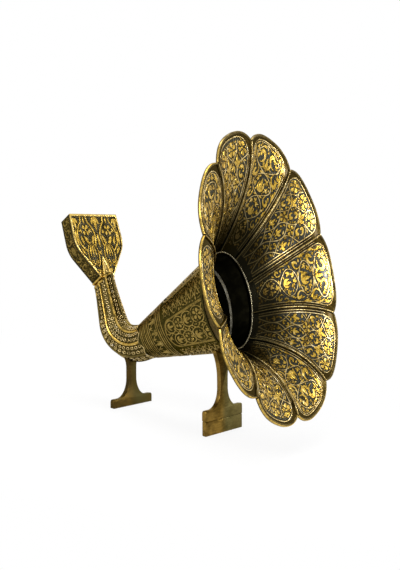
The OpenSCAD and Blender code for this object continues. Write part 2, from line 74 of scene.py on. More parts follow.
class Wire:
    """A socket of a material: sums on it add Math nodes, and node() adds a node of any other kind."""

    def __init__(self, tree, socket):
        self.tree = tree
        self.socket = socket

    def feed(self, socket, value):
        """Links a wire to a socket, or sets the socket to a plain value."""
        if isinstance(value, Wire):
            self.tree.links.new(value.socket, socket)
        else:
            socket.default_value = value

    def node(self, kind, settings=None, links=None, out=0):
        """Adds a node, makes its settings, feeds its sockets and gives a wire of one output."""
        made = self.tree.nodes.new("ShaderNode" + kind)
        for name, value in (settings or {}).items():
            setattr(made, name, value)
        for name, value in (links or {}).items():
            self.feed(made.inputs[name], value)
        return Wire(self.tree, made.outputs[out])

    def math(self, operation, first, second):
        """Adds a Math node."""
        return self.node("Math", {"operation": operation}, {0: first, 1: second})

    def __add__(self, other):
        return self.math("ADD", self, other)

    def __sub__(self, other):
        return self.math("SUBTRACT", self, other)

    def __rsub__(self, other):
        return self.math("SUBTRACT", other, self)

    def __mul__(self, other):
        return self.math("MULTIPLY", self, other)

    __radd__ = __add__
    __rmul__ = __mul__

    def rise(self, low, high):
        """0 below low, 1 above high, smooth between."""
        settings = {"interpolation_type": "SMOOTHSTEP"}
        return self.node("MapRange", settings, {"Value": self, "From Min": low, "From Max": high})

    def blend(self, low, high):
        """The colour low where this is 0 and the colour high where it is 1."""
        return self.node("Mix", {"data_type": "RGBA"}, {0: self, 6: low, 7: high}, 2)

    def grain(self, size):
        """Cloudy noise from 0 to 1 whose clouds are about this size."""
        return self.node("TexNoise", {}, {"Vector": self, "Scale": 1 / size, "Detail": 3.0})

    def pits(self, size):
        """Distance from the nearest of many pits, which lie about this far apart."""
        return self.node("TexVoronoi", {}, {"Vector": self, "Scale": 1 / size}, "Distance")

    def along(self, direction):
        """Distance along a direction."""
        settings = {"operation": "DOT_PRODUCT"}
        return self.node("VectorMath", settings, {0: self, 1: direction}, "Value")

    def less(self, point):
        """The way from a point to here."""
        return self.node("VectorMath", {"operation": "SUBTRACT"}, {0: self, 1: point})


def start_finish(name, edge_tint=brass_edge):
    """A new metal material, its shader and a wire of the place on the object."""
    material = bpy.data.materials.new(name)
    material.use_nodes = True
    tree = material.node_tree
    shader = tree.nodes["Principled BSDF"]
    shader.inputs["Metallic"].default_value = 1.0
    shader.inputs["Specular Tint"].default_value = edge_tint
    place = Wire(tree, tree.nodes.new("ShaderNodeTexCoord").outputs["Object"])
    return material, shader, place


def end_finish(shader, colour, rough, height, depth):
    """Joins colour, roughness and a bump of this depth to the shader."""
    colour.feed(shader.inputs["Base Color"], colour)
    colour.feed(shader.inputs["Roughness"], rough)
    bump = height.node("Bump", {}, {"Height": height, "Distance": depth, "Strength": 1.0}, "Normal")
    colour.feed(shader.inputs["Normal"], bump)


def edit_all(piece):
    """Opens one piece in edit mode with all of its mesh selected."""
    bpy.ops.object.select_all(action="DESELECT")
    piece.select_set(True)
    bpy.context.view_layer.objects.active = piece
    bpy.ops.object.mode_set(mode="EDIT")
    bpy.ops.mesh.select_all(action="SELECT")


def settle(piece, material, slot, *stands_for):
    """Gives a finished piece its material and its place in the frame."""
    piece.data.materials.append(material)
    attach(piece, "root")
    if stands_for:
        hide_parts(*stands_for)


def eased_copy(node, easing, material, slot):
    """Stands for a CAD plate: the same solid with its sharp edges eased."""
    piece = bpy.data.objects.new(node + "_eased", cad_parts[node].data.copy())
    bpy.context.scene.collection.objects.link(piece)
    edit_all(piece)
    bpy.ops.mesh.remove_doubles(threshold=merge_gap)
    bpy.ops.mesh.dissolve_limited(angle_limit=flat_within)
    bpy.ops.object.mode_set(mode="OBJECT")
    bpy.ops.mesh.customdata_custom_splitnormals_clear()
    bevel = piece.modifiers.new("easing", "BEVEL")
    bevel.width = easing
    bevel.segments = 2
    bevel.limit_method = "ANGLE"
    bevel.angle_limit = eased_above
    bpy.ops.object.modifier_apply(modifier="easing")
    bpy.ops.object.shade_smooth_by_angle(angle=smooth_below)
    piece.data.materials.clear()
    settle(piece, material, slot, node)


leg_finish, leg_shader, leg_place = start_finish("satin_leg_brass", leg_edge)
leg_cloud = leg_place.grain(leg_blotch)
leg_rub = leg_place.node("Mapping", {}, {"Vector": leg_place, "Scale": file_stroke}).grain(leg_scratch)
leg_wear = (leg_cloud * 0.65 + leg_rub * 0.35).rise(0.36, 0.64)
leg_fleck = leg_place.grain(leg_speck).rise(0.60, 0.72) * 0.5
# Painted light: each leg is warm gold on its near side as a painted reflection, and greener and darker on
# its far side as painted shade.
leg_shaded_side = (leg_place.along(Y_AXIS) + leg_cloud * leg_waver).rise(*leg_lit_to_shaded)
leg_high = leg_shaded_side.blend(leg_gold, leg_shade_green)
leg_low = leg_shaded_side.blend(leg_brown, leg_shade_olive)
leg_front = leg_fleck.blend(leg_wear.blend(leg_low, leg_high), leg_worn)
# Painted shadow: the rear leg is painted darker than the front one.
leg_rear_shaded = leg_wear.blend(leg_shadow_dark, leg_low)
leg_colour = leg_place.along(X_AXIS).rise(*leg_shaded_to_lit).blend(leg_rear_shaded, leg_front)
end_finish(leg_shader, leg_colour, leg_cloud * 0.24 + 0.26, leg_rub, 0.05 * MM)
for node in leg_nodes:
    eased_copy(node, leg_easing, leg_finish, "leg_brass")


# Neck
# A hollow eight-sided brass casting that bends from the pocket down and round into the horn. Its corners
# are ridges, rubbed bright towards the inside of the bend. Rings are chased on the dark sides between.
def forward(climb):
    """The way ahead in the object's middle plane that climbs at an angle."""
    return Vector((math.cos(climb), 0, math.sin(climb)))


def upward(climb):
    """The way up in the middle plane that is square to that."""
    return Vector((-math.sin(climb), 0, math.cos(climb)))


def clamp(value, low=0, high=1):
    """The value, held between two limits."""
    return min(max(value, low), high)


cone_start = Vector((4.05, 0, 59.9)) * MM
cone_rise = math.radians(34.3)
cone_small_radius = 15.85 * MM
throat_radius = 44 * MM
cone_length = 91.5 * MM
cone_slope = (throat_radius - cone_small_radius) / cone_length
cone_axis = forward(cone_rise)
cone_up = upward(cone_rise)
pocket_lean = math.radians(26.4)
pocket_right = forward(pocket_lean)
pocket_up = upward(pocket_lean)
neck_bend = 25.4 * MM
neck_straight = 41.2 * MM
neck_top_radius = 9.2 * MM
neck_wall = 1.5 * MM
corner_share = 1.04
round_over = 9 * MM
slope_over = 24 * MM
mouth_slope = math.radians(25.6)
pocket_thickness = 10.6 * MM
neck_turn = math.radians(90) - pocket_lean + cone_rise
neck_length = neck_straight + neck_bend * neck_turn
bend_centre = cone_start + neck_bend * cone_up
bend_start = bend_centre - neck_bend * pocket_right
pocket_foot = bend_start + neck_straight * pocket_up
neck_around = 96
neck_along = 110
neck_sharp = math.radians(22)
seam_gap = 0.002 * MM
eighth = math.pi / 4
neck_ground = (0.024, 0.019, 0.006, 1)
neck_brown = (0.070, 0.050, 0.012, 1)
neck_gold = (0.52, 0.34, 0.070, 1)
ring_gold = (0.56, 0.42, 0.170, 1)
ring_glint_pale = (0.95, 0.90, 0.76, 1)
neck_pale = (0.82, 0.68, 0.36, 1)
ridge_olive = (0.125, 0.092, 0.026, 1)
dull_edge = (0.45, 0.42, 0.34, 1)


def neck_radius(s):
    """Radius of the neck at a length along its axis, before its corners stand out."""
    share = clamp(s / neck_length)
    return neck_top_radius + (cone_small_radius - neck_top_radius) * share * share * (3 - 2 * share)


def neck_point(s, turn, lift):
    """A point over the neck's skin: s along its axis, turn from the inside of the bend."""
    heading = pocket_lean - math.pi / 2 + max(s - neck_straight, 0) / neck_bend
    if s <= neck_straight:
        middle = pocket_foot - s * pocket_up
    else:
        middle = bend_centre - neck_bend * upward(heading)
    side = corner_share * math.cos(eighth / 2) / math.cos(turn % eighth - eighth / 2)
    rounding = clamp((s - neck_length + round_over) / round_over)
    reach = neck_radius(s) * (side * (1 - rounding) + rounding) + lift
    ahead = reach * math.cos(turn)
    slip = max(0, 1 - s / slope_over) * (ahead - pocket_thickness / 2) * math.tan(mouth_slope)
    return middle + ahead * upward(heading) + reach * math.sin(turn) * Y_AXIS - slip * forward(heading)


def sheet_from_grid(name, across, along, place):
    """A grid primitive laid on a surface, and the shares from 0 to 1 each way of its corners."""
    bpy.ops.object.select_all(action="DESELECT")
    bpy.ops.mesh.primitive_grid_add(x_subdivisions=across, y_subdivisions=along, size=1)
    piece = bpy.context.object
    piece.name = name
    shares = [(corner.co.x + 0.5, corner.co.y + 0.5) for corner in piece.data.vertices]
    for corner, (a, b) in zip(piece.data.vertices, shares):
        corner.co = place(a, b)
    return piece, shares


def close_sheet(piece, thickness, sharp_angle):
    """Merges a grid's seam, gives it a wall, inwards or outwards, turns its faces out and shades it."""
    edit_all(piece)
    bpy.ops.mesh.remove_doubles(threshold=seam_gap)
    bpy.ops.object.mode_set(mode="OBJECT")
    wall = piece.modifiers.new("wall", "SOLIDIFY")
    wall.thickness = abs(thickness)
    wall.offset = -1 if thickness > 0 else 1
    bpy.ops.object.modifier_apply(modifier="wall")
    edit_all(piece)
    bpy.ops.mesh.normals_make_consistent(inside=False)
    bpy.ops.object.mode_set(mode="OBJECT")
    bpy.ops.object.shade_smooth_by_angle(angle=sharp_angle)


def ring(x, y, radius, width, sides):
    """A chased circle."""
    turns = [2 * math.pi * k / sides for k in range(sides + 1)]
    return [([(x + radius * math.cos(t), y + radius * math.sin(t)) for t in turns], (width, width))]


def split_long(line, longest):
    """The same line with points added, so that no step is longer than this."""
    fine = [line[0]]
    for (ax, ay), (bx, by) in zip(line, line[1:]):
        parts = max(1, math.ceil(math.hypot(bx - ax, by - ay) / longest))
        fine += [(ax + (bx - ax) * k / parts, ay + (by - ay) * k / parts) for k in range(1, parts + 1)]
    return fine


FLAT_RELIEF = ((-1, -0.35), (-0.78, 1), (0.78, 1), (1, -0.35))
ROUND_RELIEF = ((-1, -0.3), (-0.85, 0.5), (-0.45, 0.9), (0, 1), (0.45, 0.9), (0.85, 0.5), (1, -0.3))
FLAT_SHARP = math.radians(20)
ROUND_SHARP = math.radians(50)


def raised(name, strokes, place, height, finish, slot, profile=FLAT_RELIEF, longest=1.8, stands_for=()):
    """One piece of raised strokes, each a closed bar that lies on a surface.

    Strokes are in millimetres on the surface; place(x, y, lift) gives the point in the frame."""
    corners = []
    faces = []
    size = len(profile)
    for rough_line, widths in strokes:
        line = split_long(rough_line, longest)
        last = len(line) - 1
        for k, (x, y) in enumerate(line):
            ax, ay = line[max(k - 1, 0)]
            bx, by = line[min(k + 1, last)]
            run = math.hypot(bx - ax, by - ay) or 1
            nx, ny = -(by - ay) / run, (bx - ax) / run
            spot = k / last * (len(widths) - 1)
            low = min(int(spot), len(widths) - 2)
            half = (widths[low] + (widths[low + 1] - widths[low]) * (spot - low)) / 2
            for share, lift in profile:
                aside = share * half
                corners.append(place((x + nx * aside) * MM, (y + ny * aside) * MM, lift * height))
        base = len(corners) - (last + 1) * size
        for k in range(last):
            a = base + k * size
            for j in range(size):
                n = (j + 1) % size
                faces.append((a + j, a + size + j, a + size + n, a + n))
        faces.append(tuple(base + j for j in range(size)))
        faces.append(tuple(base + last * size + j for j in reversed(range(size))))
    mesh = bpy.data.meshes.new(name)
    mesh.from_pydata(corners, [], faces)
    piece = bpy.data.objects.new(name, mesh)
    bpy.context.scene.collection.objects.link(piece)
    edit_all(piece)
    bpy.ops.mesh.normals_make_consistent(inside=False)
    bpy.ops.object.mode_set(mode="OBJECT")
    sharp = FLAT_SHARP if profile is FLAT_RELIEF else ROUND_SHARP
    bpy.ops.object.shade_smooth_by_angle(angle=sharp)
    settle(piece, finish, slot, *stands_for)


def cone_point(s, turn, lift):
    """A point over the cone's skin: s along its axis, turn from the near side up over the top."""
    radius = cone_small_radius + cone_slope * s
    out = math.sin(turn) * cone_up - math.cos(turn) * Y_AXIS
    return cone_start + s * cone_axis + (radius + lift) * out


def neck_side(turn):
    """Places strokes on the neck and the start of the cone: x round from a turn, y along the axis."""
    def place(x, y, lift):
        here = turn + x / neck_radius(y)
        if y > neck_length:
            return cone_point(y - neck_length, math.pi / 2 + here, lift)
        return neck_point(y, here, lift)
    return place


def chased_ground(name, ground, brown, pit_size, rough):
    """Matted ground between raised work: dark, pitted and unevenly tarnished."""
    material, shader, place = start_finish(name, dull_edge)
    cloud = place.grain(9 * MM)
    pit = place.pits(pit_size)
    tarnish = (cloud * 0.7 + pit * 0.4).rise(0.35, 0.75)
    end_finish(shader, tarnish.blend(ground, brown), cloud * 0.2 + rough, pit, 0.12 * MM)
    return material


def relief_gold(name, gold, pale, brown, rough):
    """Polished raised work: yellow brass with brown left in the lows and pale crests, partly wear and
    partly painted highlight.
    """
    material, shader, place = start_finish(name)
    cloud = place.grain(6 * MM)
    fleck = place.grain(1.1 * MM)
    shade = cloud * 0.5 + fleck * 0.5
    colour = shade.rise(0.36, 0.52).blend(brown, gold)
    colour = (shade.rise(0.55, 0.68) * 0.8).blend(colour, pale)
    end_finish(shader, colour, cloud * 0.2 + rough, fleck, 0.10 * MM)
    return material


neck, _ = sheet_from_grid(
    "neck_casting", neck_around, neck_along,
    lambda a, b: neck_point(b * neck_length, a * 2 * math.pi, 0),
)
close_sheet(neck, -neck_wall, neck_sharp)
neck_matt = chased_ground("neck_matted_ground", neck_ground, neck_brown, 0.9 * MM, 0.30)
settle(neck, neck_matt, "neck_brass", "neck_tube")

neck_bright = relief_gold("neck_ridge_gold", neck_gold, neck_pale, neck_brown, 0.20)
neck_dull = relief_gold("neck_dull_gold", ridge_olive, neck_gold, neck_brown, 0.26)
# The rings' pale is a painted highlight: white glints painted onto them.
neck_glint = relief_gold("neck_ring_gold", ring_gold, ring_glint_pale, neck_brown, 0.16)

# Chased strokes are laid out in millimetres on the surface, and how far they stand up is in metres.
neck_panel_start = 2.5
neck_panel_last = neck_length / MM + 5.0
neck_panel_half = eighth / 2 * neck_radius(neck_panel_last * MM) / MM
neck_panel_point = 3.5
neck_panel_line = 1.3
ridge_width = 2.3
ridge_taper = 0.3
ridge_height = 0.65 * MM
bright_corners = (1, 2, 6, 7)
ring_first = 3.8
ring_step = 3.9
ring_across = 3.3
ring_radius = 1.25
ring_line = 0.8
ring_sides = 10
ring_clear = 0.3
ring_room = 1.1
ring_height = 0.40 * MM
top_bead_from, top_bead_to = 65, 295
top_bead_up = 1.6
top_bead_width = 3.0
top_bead_height = 1.0 * MM


def side_room(x, y):
    """Distance from the ridges and the ends of a neck side."""
    half = eighth / 2 * neck_radius(y * MM) / MM - ridge_width / 2 - ring_clear
    end = neck_panel_last - 1.0 - neck_panel_point * abs(x) / neck_panel_half
    return min(half - abs(x), y - neck_panel_start, end - y)


neck_rings = []
for k in range(int(neck_panel_last / ring_step)):
    y = ring_first + ring_step * k
    across = eighth * neck_radius(y * MM) / MM - ridge_width - 2 * ring_clear
    count = max(1, int(across / ring_across))
    for j in range(count):
        x = (j - (count - 1) / 2) * across / count
        if side_room(x, y) > ring_room:
            neck_rings += ring(x, y, ring_radius, ring_line, ring_sides)
neck_panel_side = neck_panel_last - neck_panel_point
neck_panel_end = [
    (-neck_panel_half, neck_panel_side), (0, neck_panel_last), (neck_panel_half, neck_panel_side),
]
neck_chasing = neck_rings + [(neck_panel_end, (neck_panel_line, neck_panel_line))]
ridge_line = [(0, y) for y in range(0, int(neck_panel_last) - 1, 2)]
neck_ridge = [(ridge_line, (ridge_width - ridge_taper, ridge_width, ridge_width + ridge_taper))]
for corner in range(8):
    turn = corner * eighth
    ridge_finish = neck_bright if corner in bright_corners else neck_dull
    raised(
        f"neck_ridge_{corner + 1}", neck_ridge, neck_side(turn),
        ridge_height, ridge_finish, "neck_brass", ROUND_RELIEF,
    )
    raised(
        f"neck_chasing_{corner + 1}", neck_chasing, neck_side(turn + eighth / 2),
        ring_height, neck_glint, "neck_brass", ROUND_RELIEF,
    )
top_bead_turns = [math.radians(a) for a in range(top_bead_from, top_bead_to + 1, 5)]
top_bead = [(turn * neck_top_radius / MM, top_bead_up) for turn in top_bead_turns]
raised(
    "neck_top_bead", [(top_bead, (top_bead_width, top_bead_width))], neck_side(0),
    top_bead_height, neck_bright, "neck_brass", ROUND_RELIEF,
)


# Horn cone
# One sheet of brass rolled to a cone and soldered along its length. Rings and a band of pendants go round
# its small end; from there long panels of scrolling vine and of plaited zigzag run to the bell.
bell_tilt = math.radians(21.8)
flange_thickness = 1.6 * MM
mouth_turn = cone_rise - bell_tilt
cone_skin_depth = 0.6 * MM
skin_soft = 0.1 * MM
flange_seat = 0.97
flange_clear = 0.8 * MM
cone_ground = (0.026, 0.022, 0.006, 1)
cone_olive = (0.066, 0.052, 0.013, 1)
cone_gold = (0.30, 0.205, 0.050, 1)
cone_pale = (0.50, 0.39, 0.155, 1)
fillet_gold = (0.23, 0.155, 0.036, 1)
shade_black = (0.005, 0.0045, 0.0025, 1)


def cone_limit(turn):
    """How far along the axis the cone reaches before the bell's flange."""
    back = cone_length - flange_thickness / math.cos(mouth_turn)
    return back + math.tan(mouth_turn) * throat_radius * flange_seat * math.sin(turn) - flange_clear


def on_cone(turn):
    """Places strokes about a turn of the cone: x round it and y along its axis."""
    def place(x, y, lift):
        here = turn + x / (cone_small_radius + cone_slope * y)
        return cone_point(min(y, cone_limit(here)), here, lift)
    return place


def degree_at(y):
    """Millimetres round the cone for one degree."""
    return math.radians(1) * (cone_small_radius + cone_slope * y * MM) / MM


def dress(material, *nodes):
    """Gives CAD pieces that stay in view their finish."""
    for node in nodes:
        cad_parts[node].data.materials.clear()
        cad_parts[node].data.materials.append(material)


def leaf(x, y, heading, length, width, bend=0.0):
    """A pointed leaf that grows from a point, curling by bend degrees."""
    line = []
    angle = math.radians(heading)
    parts = 6
    for _ in range(parts + 1):
        line.append((x, y))
        x += length / parts * math.cos(angle)
        y += length / parts * math.sin(angle)
        angle += math.radians(bend) / parts
    return [(line, (0.25 * width, 0.8 * width, width, 0.7 * width, 0.12 * width))]


def bead(x, y, size):
    """A round dot."""
    half = size / 2
    line = [(x - half, y), (x - 0.5 * half, y), (x + 0.5 * half, y), (x + half, y)]
    return [(line, (0.4 * size, 0.95 * size, 0.95 * size, 0.4 * size))]


def flower(x, y, radius, petals, heading=90):
    """A flower of round petals about a dot."""
    made = bead(x, y, 0.34 * radius)
    near = 0.30 * radius
    for k in range(petals):
        turn = math.radians(heading + 360 * k / petals)
        reaches = [near + (radius - near) * t for t in (0, 0.3, 0.65, 0.9, 1)]
        line = [(x + reach * math.cos(turn), y + reach * math.sin(turn)) for reach in reaches]
        made += [(line, [share * radius for share in (0.16, 0.5, 0.72, 0.56, 0.2)])]
    return made


def trefoil(x, y, heading, length):
    """Three leaves from one stalk."""
    made = leaf(x, y, heading, length, 0.42 * length)
    for side in (-1, 1):
        made += leaf(x, y, heading + side * 62, 0.72 * length, 0.36 * length, -side * 50)
    return made


def mirrored(strokes):
    """The strokes and their mirror images."""
    return strokes + [([(-x, y) for x, y in line], widths) for line, widths in strokes]


def fill_gaps(strokes, lowest, highest, room, sizes):
    """Trefoils, leaves and dots, the largest first, wherever strokes leave room inside a border.

    room(x, y) is the distance to the border, and sizes are the radii of the gaps to fill."""
    cell = 6.0
    fresh_turn = 137.5
    trefoil_over, leaf_over = 2, 0.9
    taken = {}

    def take(x, y, reach):
        taken.setdefault((x // cell, y // cell), []).append((x, y, reach))

    def clearance(x, y):
        free = room(x, y)
        column, row = x // cell, y // cell
        for a in (column - 1, column, column + 1):
            for b in (row - 1, row, row + 1):
                for px, py, reach in taken.get((a, b), ()):
                    free = min(free, math.hypot(x - px, y - py) - reach)
        return free

    for line, widths in strokes:
        for x, y in split_long(line, 1.0):
            take(x, y, 0.45 * max(widths))
    made = []
    turn = 0
    for size in sizes:
        pitch = 0.5 * size
        y = lowest[1]
        while y < highest[1]:
            x = lowest[0]
            while x < highest[0]:
                if clearance(x, y) > size:
                    turn += fresh_turn
                    heading = math.radians(turn)
                    foot = (x - 0.85 * size * math.cos(heading), y - 0.85 * size * math.sin(heading))
                    if size > trefoil_over:
                        made += trefoil(*foot, turn, 1.8 * size)
                    elif size > leaf_over:
                        made += leaf(*foot, turn - 35, 2.0 * size, 1.15 * size, 70)
                    else:
                        made += bead(x, y, 1.5 * size)
                    take(x, y, size)
                x += pitch
            y += pitch
    return made


cone_matt, cone_shader, cone_place = start_finish("cone_matted_ground", dull_edge)
cone_cloud = cone_place.grain(11 * MM)
cone_pit = cone_place.pits(0.8 * MM)
cone_tarnish = (cone_cloud * 0.7 + cone_pit * 0.4).rise(0.35, 0.75)
cone_colour = cone_tarnish.blend(cone_ground, cone_olive)
# Painted shade: the cone's inner face, out of the light inside the horn, is painted near black.
from_start = cone_place.less(cone_start)
off_axis = from_start.node("VectorMath", {"operation": "CROSS_PRODUCT"}, {0: from_start, 1: cone_axis})
off_axis = off_axis.node("VectorMath", {"operation": "LENGTH"}, {0: off_axis}, "Value")
skin_depth = from_start.along(cone_axis) * cone_slope + cone_small_radius - off_axis
inner_face = skin_depth.rise(cone_skin_depth - skin_soft, cone_skin_depth + skin_soft)
cone_colour = inner_face.blend(cone_colour, shade_black)
end_finish(cone_shader, cone_colour, cone_cloud * 0.2 + 0.28, cone_pit, 0.10 * MM)
dress(cone_matt, "horn_cone")

cone_bright = relief_gold("cone_chased_gold", cone_gold, cone_pale, cone_olive, 0.22)
fillet_bright = relief_gold("cone_fillet_gold", fillet_gold, cone_gold, cone_olive, 0.22)
ring_band_height = 0.4 * MM
band_low, band_high = 19.6, 28.6
end_rings = (
    (6.9, 0.8), (9.0, 1.2), (11.2, 0.8), (13.3, 1.3), (15.4, 0.8), (17.4, 1.3),
    (band_low, 0.8), (band_high, 0.8), (30.8, 1.4), (33.2, 0.9), (35.5, 1.3),
)
band_work = []
for y, width in end_rings:
    band_work += [([(a * degree_at(0), y) for a in range(0, 364, 4)], (width, width))]


def round_cone(x, y, lift):
    """Places strokes right round the cone: x in millimetres at its small end."""
    return cone_point(y, x / cone_small_radius, lift)


raised("cone_end_rings", band_work, round_cone, ring_band_height, cone_bright, "horn_brass")
pendant_count = 14
pendant_height = 0.3 * MM
pendant_half = math.pi * (cone_small_radius / MM + cone_slope * band_high) / pendant_count
pendant_side = 0.92 * pendant_half
pendant = leaf(0, band_high - 0.6, -90, 8.4, 3.0)
pendant += mirrored(leaf(0.9, band_high - 0.7, -35, 3.4, 1.3, -60))
pendant_arch = [(-pendant_side, band_low + 0.7), (0, band_high - 0.6), (pendant_side, band_low + 0.7)]
pendant += [(pendant_arch, (0.7, 0.7))]
pendant += mirrored(leaf(pendant_side, band_low + 0.6, 90, 4.4, 1.6))
for k in range(pendant_count):
    place = on_cone(2 * math.pi * k / pendant_count)
    raised(f"cone_pendant_{k + 1:02d}", pendant, place, pendant_height, cone_bright, "horn_brass")

fillet_turn = 25.5
panel_first = 39.0
panel_turn = math.radians(-16)
panel_most = cone_length / MM + 8
panel_gaps = (2.4, 1.6, 1.1)
panel_height = 0.36 * MM
fillet_height = 0.5 * MM


def panel_room(x, y):
    """Distance from the fillets beside a panel and from its pointed end."""
    half = fillet_turn * degree_at(y) - 2.0
    point = clamp((y - panel_first + 0.5) / 8) ** 0.5
    return min(half * point - abs(x), panel_most - y)


def vine_panel():
    """Two rows of looping vine on both sides of a waving stem, with a trefoil or a flower in each loop."""
    stem_swing, loop_size, loop_out, loop_step = 2.6, 10.6, 12.6, 1.85
    stem = []
    for k in range(30):
        y = panel_first + 1 + 2 * k
        stem.append((stem_swing * degree_at(y) * math.sin(k), y))
    made = [(stem, (1.1, 1.3))]
    for hand, y in ((1, panel_first + 7.0), (-1, panel_first + 11.0)):
        k = 0
        while y < panel_most - 4:
            loop = loop_size * degree_at(y)
            x = hand * loop_out * degree_at(y)
            made += ring(x, y, loop, 1.1, 20)
            if k % 2:
                made += flower(x, y, 0.70 * loop, 5)
            else:
                made += trefoil(x, y - 0.60 * loop, 90, 1.25 * loop)
            y += loop_step * loop
            k += 1
    return made + fill_gaps(made, (-24, panel_first), (24, panel_most), panel_room, panel_gaps)


def plait_room(x, y):
    """Distance from the fillets on both sides of a plait."""
    half = (90 - 2 * fillet_turn) / 2 * degree_at(y) - 1.8
    return min(half - abs(x), y - panel_first, panel_most - y)


def zigzag_panel():
    """Two zigzag lines plaited through each other, with leaves in the openings."""
    made = []
    step = 6.2
    turns = 12
    count = int((panel_most - panel_first) / step)
    for side in (-1, 1):
        line = []
        for k in range(count):
            y = panel_first + 1.5 + step * k
            line.append(((1 if k % 2 else -1) * side * turns * degree_at(y), y))
        made += [(line, (0.9, 1.3))]
    for k in range(count):
        y = panel_first + 1.5 + step * k
        made += trefoil(0, y + 0.15 * step, 90, 0.62 * step * degree_at(y) / degree_at(60))
    return made + fill_gaps(made, (-14, panel_first), (14, panel_most), plait_room, panel_gaps)


def panel_border():
    """Flat fillets up both sides of a panel that meet in a pointed arch at its small end."""
    right = []
    for share, y in ((0, 37.6), (0.40, 38.8), (0.75, 40.4), (0.93, 42.4), (1, 45)):
        right.append((share * fillet_turn * degree_at(y), y))
    for y in range(48, 102, 3):
        right.append((fillet_turn * degree_at(y), y))
    return mirrored([(right, (1.5, 2.2, 2.8, 3.0))])


vines = vine_panel()
plaits = zigzag_panel()
fillets = panel_border()
for quarter in range(4):
    middle = on_cone(quarter * math.pi / 2 + panel_turn)
    between = on_cone(quarter * math.pi / 2 + panel_turn + math.pi / 4)
    number = quarter + 1
    raised(f"cone_vine_{number}", vines, middle, panel_height, cone_bright, "horn_brass")
    raised(f"cone_fillet_{number}", fillets, middle, fillet_height, fillet_bright, "horn_brass")
    raised(f"cone_plait_{number}", plaits, between, panel_height, cone_bright, "horn_brass")


# Throat
# A turned flange, a bead, a sleeve that lines the cone's mouth, painted near black as shade, and a bright
# lip at its inner end, all brass and soldered together. They carry the petals, and little but the bead and
# the lip is seen.
shade_black_mottle = (0.013, 0.012, 0.006, 1)
throat_bead_grey = (0.150, 0.132, 0.086, 1)
throat_bead_pale = (0.31, 0.285, 0.205, 1)
throat_bead_dark = (0.045, 0.036, 0.018, 1)
throat_lip_grey = (0.50, 0.47, 0.37, 1)
throat_lip_pale = (0.80, 0.77, 0.66, 1)
throat_lip_dark = (0.26, 0.235, 0.165, 1)
# Painted shade: the sleeves deep in the throat are painted near black, mottled at random.
black_finish, black_shader, black_place = start_finish("throat_painted_shade", dull_edge)
black_cloud = black_place.grain(7 * MM)
black_colour = black_cloud.rise(0.4, 0.8).blend(shade_black, shade_black_mottle)
end_finish(black_shader, black_colour, black_cloud * 0.2 + 0.36, black_place.grain(1 * MM), 0.04 * MM)
throat_bead_finish = relief_gold(
    "throat_bead_brass", throat_bead_grey, throat_bead_pale, throat_bead_dark, 0.18,
)
throat_lip_finish = relief_gold(
    "throat_lip_brass", throat_lip_grey, throat_lip_pale, throat_lip_dark, 0.30,
)
dress(black_finish, "throat_sleeve", "joint_sleeve")
dress(cone_matt, "throat_flange")
dress(throat_bead_finish, "throat_ring")
dress(throat_lip_finish, "throat_lip")


# Petals
# Ten petals beaten from sheet brass make the bell. Each has a rolled outer edge, a smooth dark cove inside
# it and along its seams, and a lacquered field of gold shapes and pale lines, each edged with a dark band
# of painted shade. The petals are painted darker towards the throat as shade.
petal_count = 10
notch_radius = 120 * MM
tip_reach = 9.2 * MM
tip_square = 3.2
bell_depth = 47.5 * MM
bell_rise = 12.5 * MM
flare_power = 2.5
rise_power = 3.4
flare_end = 1.25
petal_sheet = 1.2 * MM
petal_bow = 2 * MM
bow_span = math.radians(150)
edge_roll = 3.4 * MM
petal_gap = 0.4 * MM
throat_lift = 3 * MM
half_petal = math.pi / petal_count
bell_axis = forward(bell_tilt)
bell_up = upward(bell_tilt)
throat_centre = cone_start + cone_length * cone_axis + throat_lift * bell_up
listener = throat_centre + bell_axis * 250 * MM
ground_edge = (0.64, 0.58, 0.45, 1)
outline_shade_edge = (0.64, 0.62, 0.50, 1)
ground_slate = (0.046, 0.050, 0.044, 1)
ground_dark = (0.014, 0.011, 0.005, 1)
outline_shade_dark = (0.008, 0.0055, 0.002, 1)
cove_dark = (0.022, 0.014, 0.004, 1)
petal_gold = (0.60, 0.385, 0.050, 1)
petal_pale = (0.80, 0.66, 0.33, 1)
petal_brown = (0.20, 0.115, 0.016, 1)
line_tan = (0.56, 0.42, 0.17, 1)
line_pale = (0.88, 0.78, 0.52, 1)
throat_shade_gold = (0.030, 0.019, 0.004, 1)
throat_shade_tan = (0.050, 0.038, 0.014, 1)
edge_gold = (0.60, 0.40, 0.085, 1)
back_brown = (0.105, 0.070, 0.019, 1)
edge_brown = (0.085, 0.060, 0.016, 1)
edge_olive = (0.15, 0.11, 0.034, 1)
edge_tan = (0.34, 0.26, 0.10, 1)
lip_width = 1.6 * MM


def ramp(q, power):
    """Rises with q, ever more slowly, to 1 where q is 1."""
    return (1 - max(1 - q / flare_end, 0) ** power) / (1 - (1 - 1 / flare_end) ** power)


def flare_point(q, turn):
    """A point of the flare at a share q from the throat to the notches, turning from the top."""
    radius = throat_radius + (notch_radius - throat_radius) * q
    depth = bell_depth * ramp(q, flare_power)
    lift = bell_rise * ramp(q, rise_power)
    point = throat_centre + bell_axis * depth + bell_up * (lift + radius * math.cos(turn))
    return point + radius * math.sin(turn) * Y_AXIS


def flare_face(q, turn):
    """The direction square to the flare that faces the listener."""
    turn_step = 0.008
    out_step = 0.005
    round_it = flare_point(q, turn + turn_step) - flare_point(q, turn - turn_step)
    out = flare_point(q + out_step, turn) - flare_point(max(q - out_step, 0), turn)
    return round_it.cross(out).normalized()


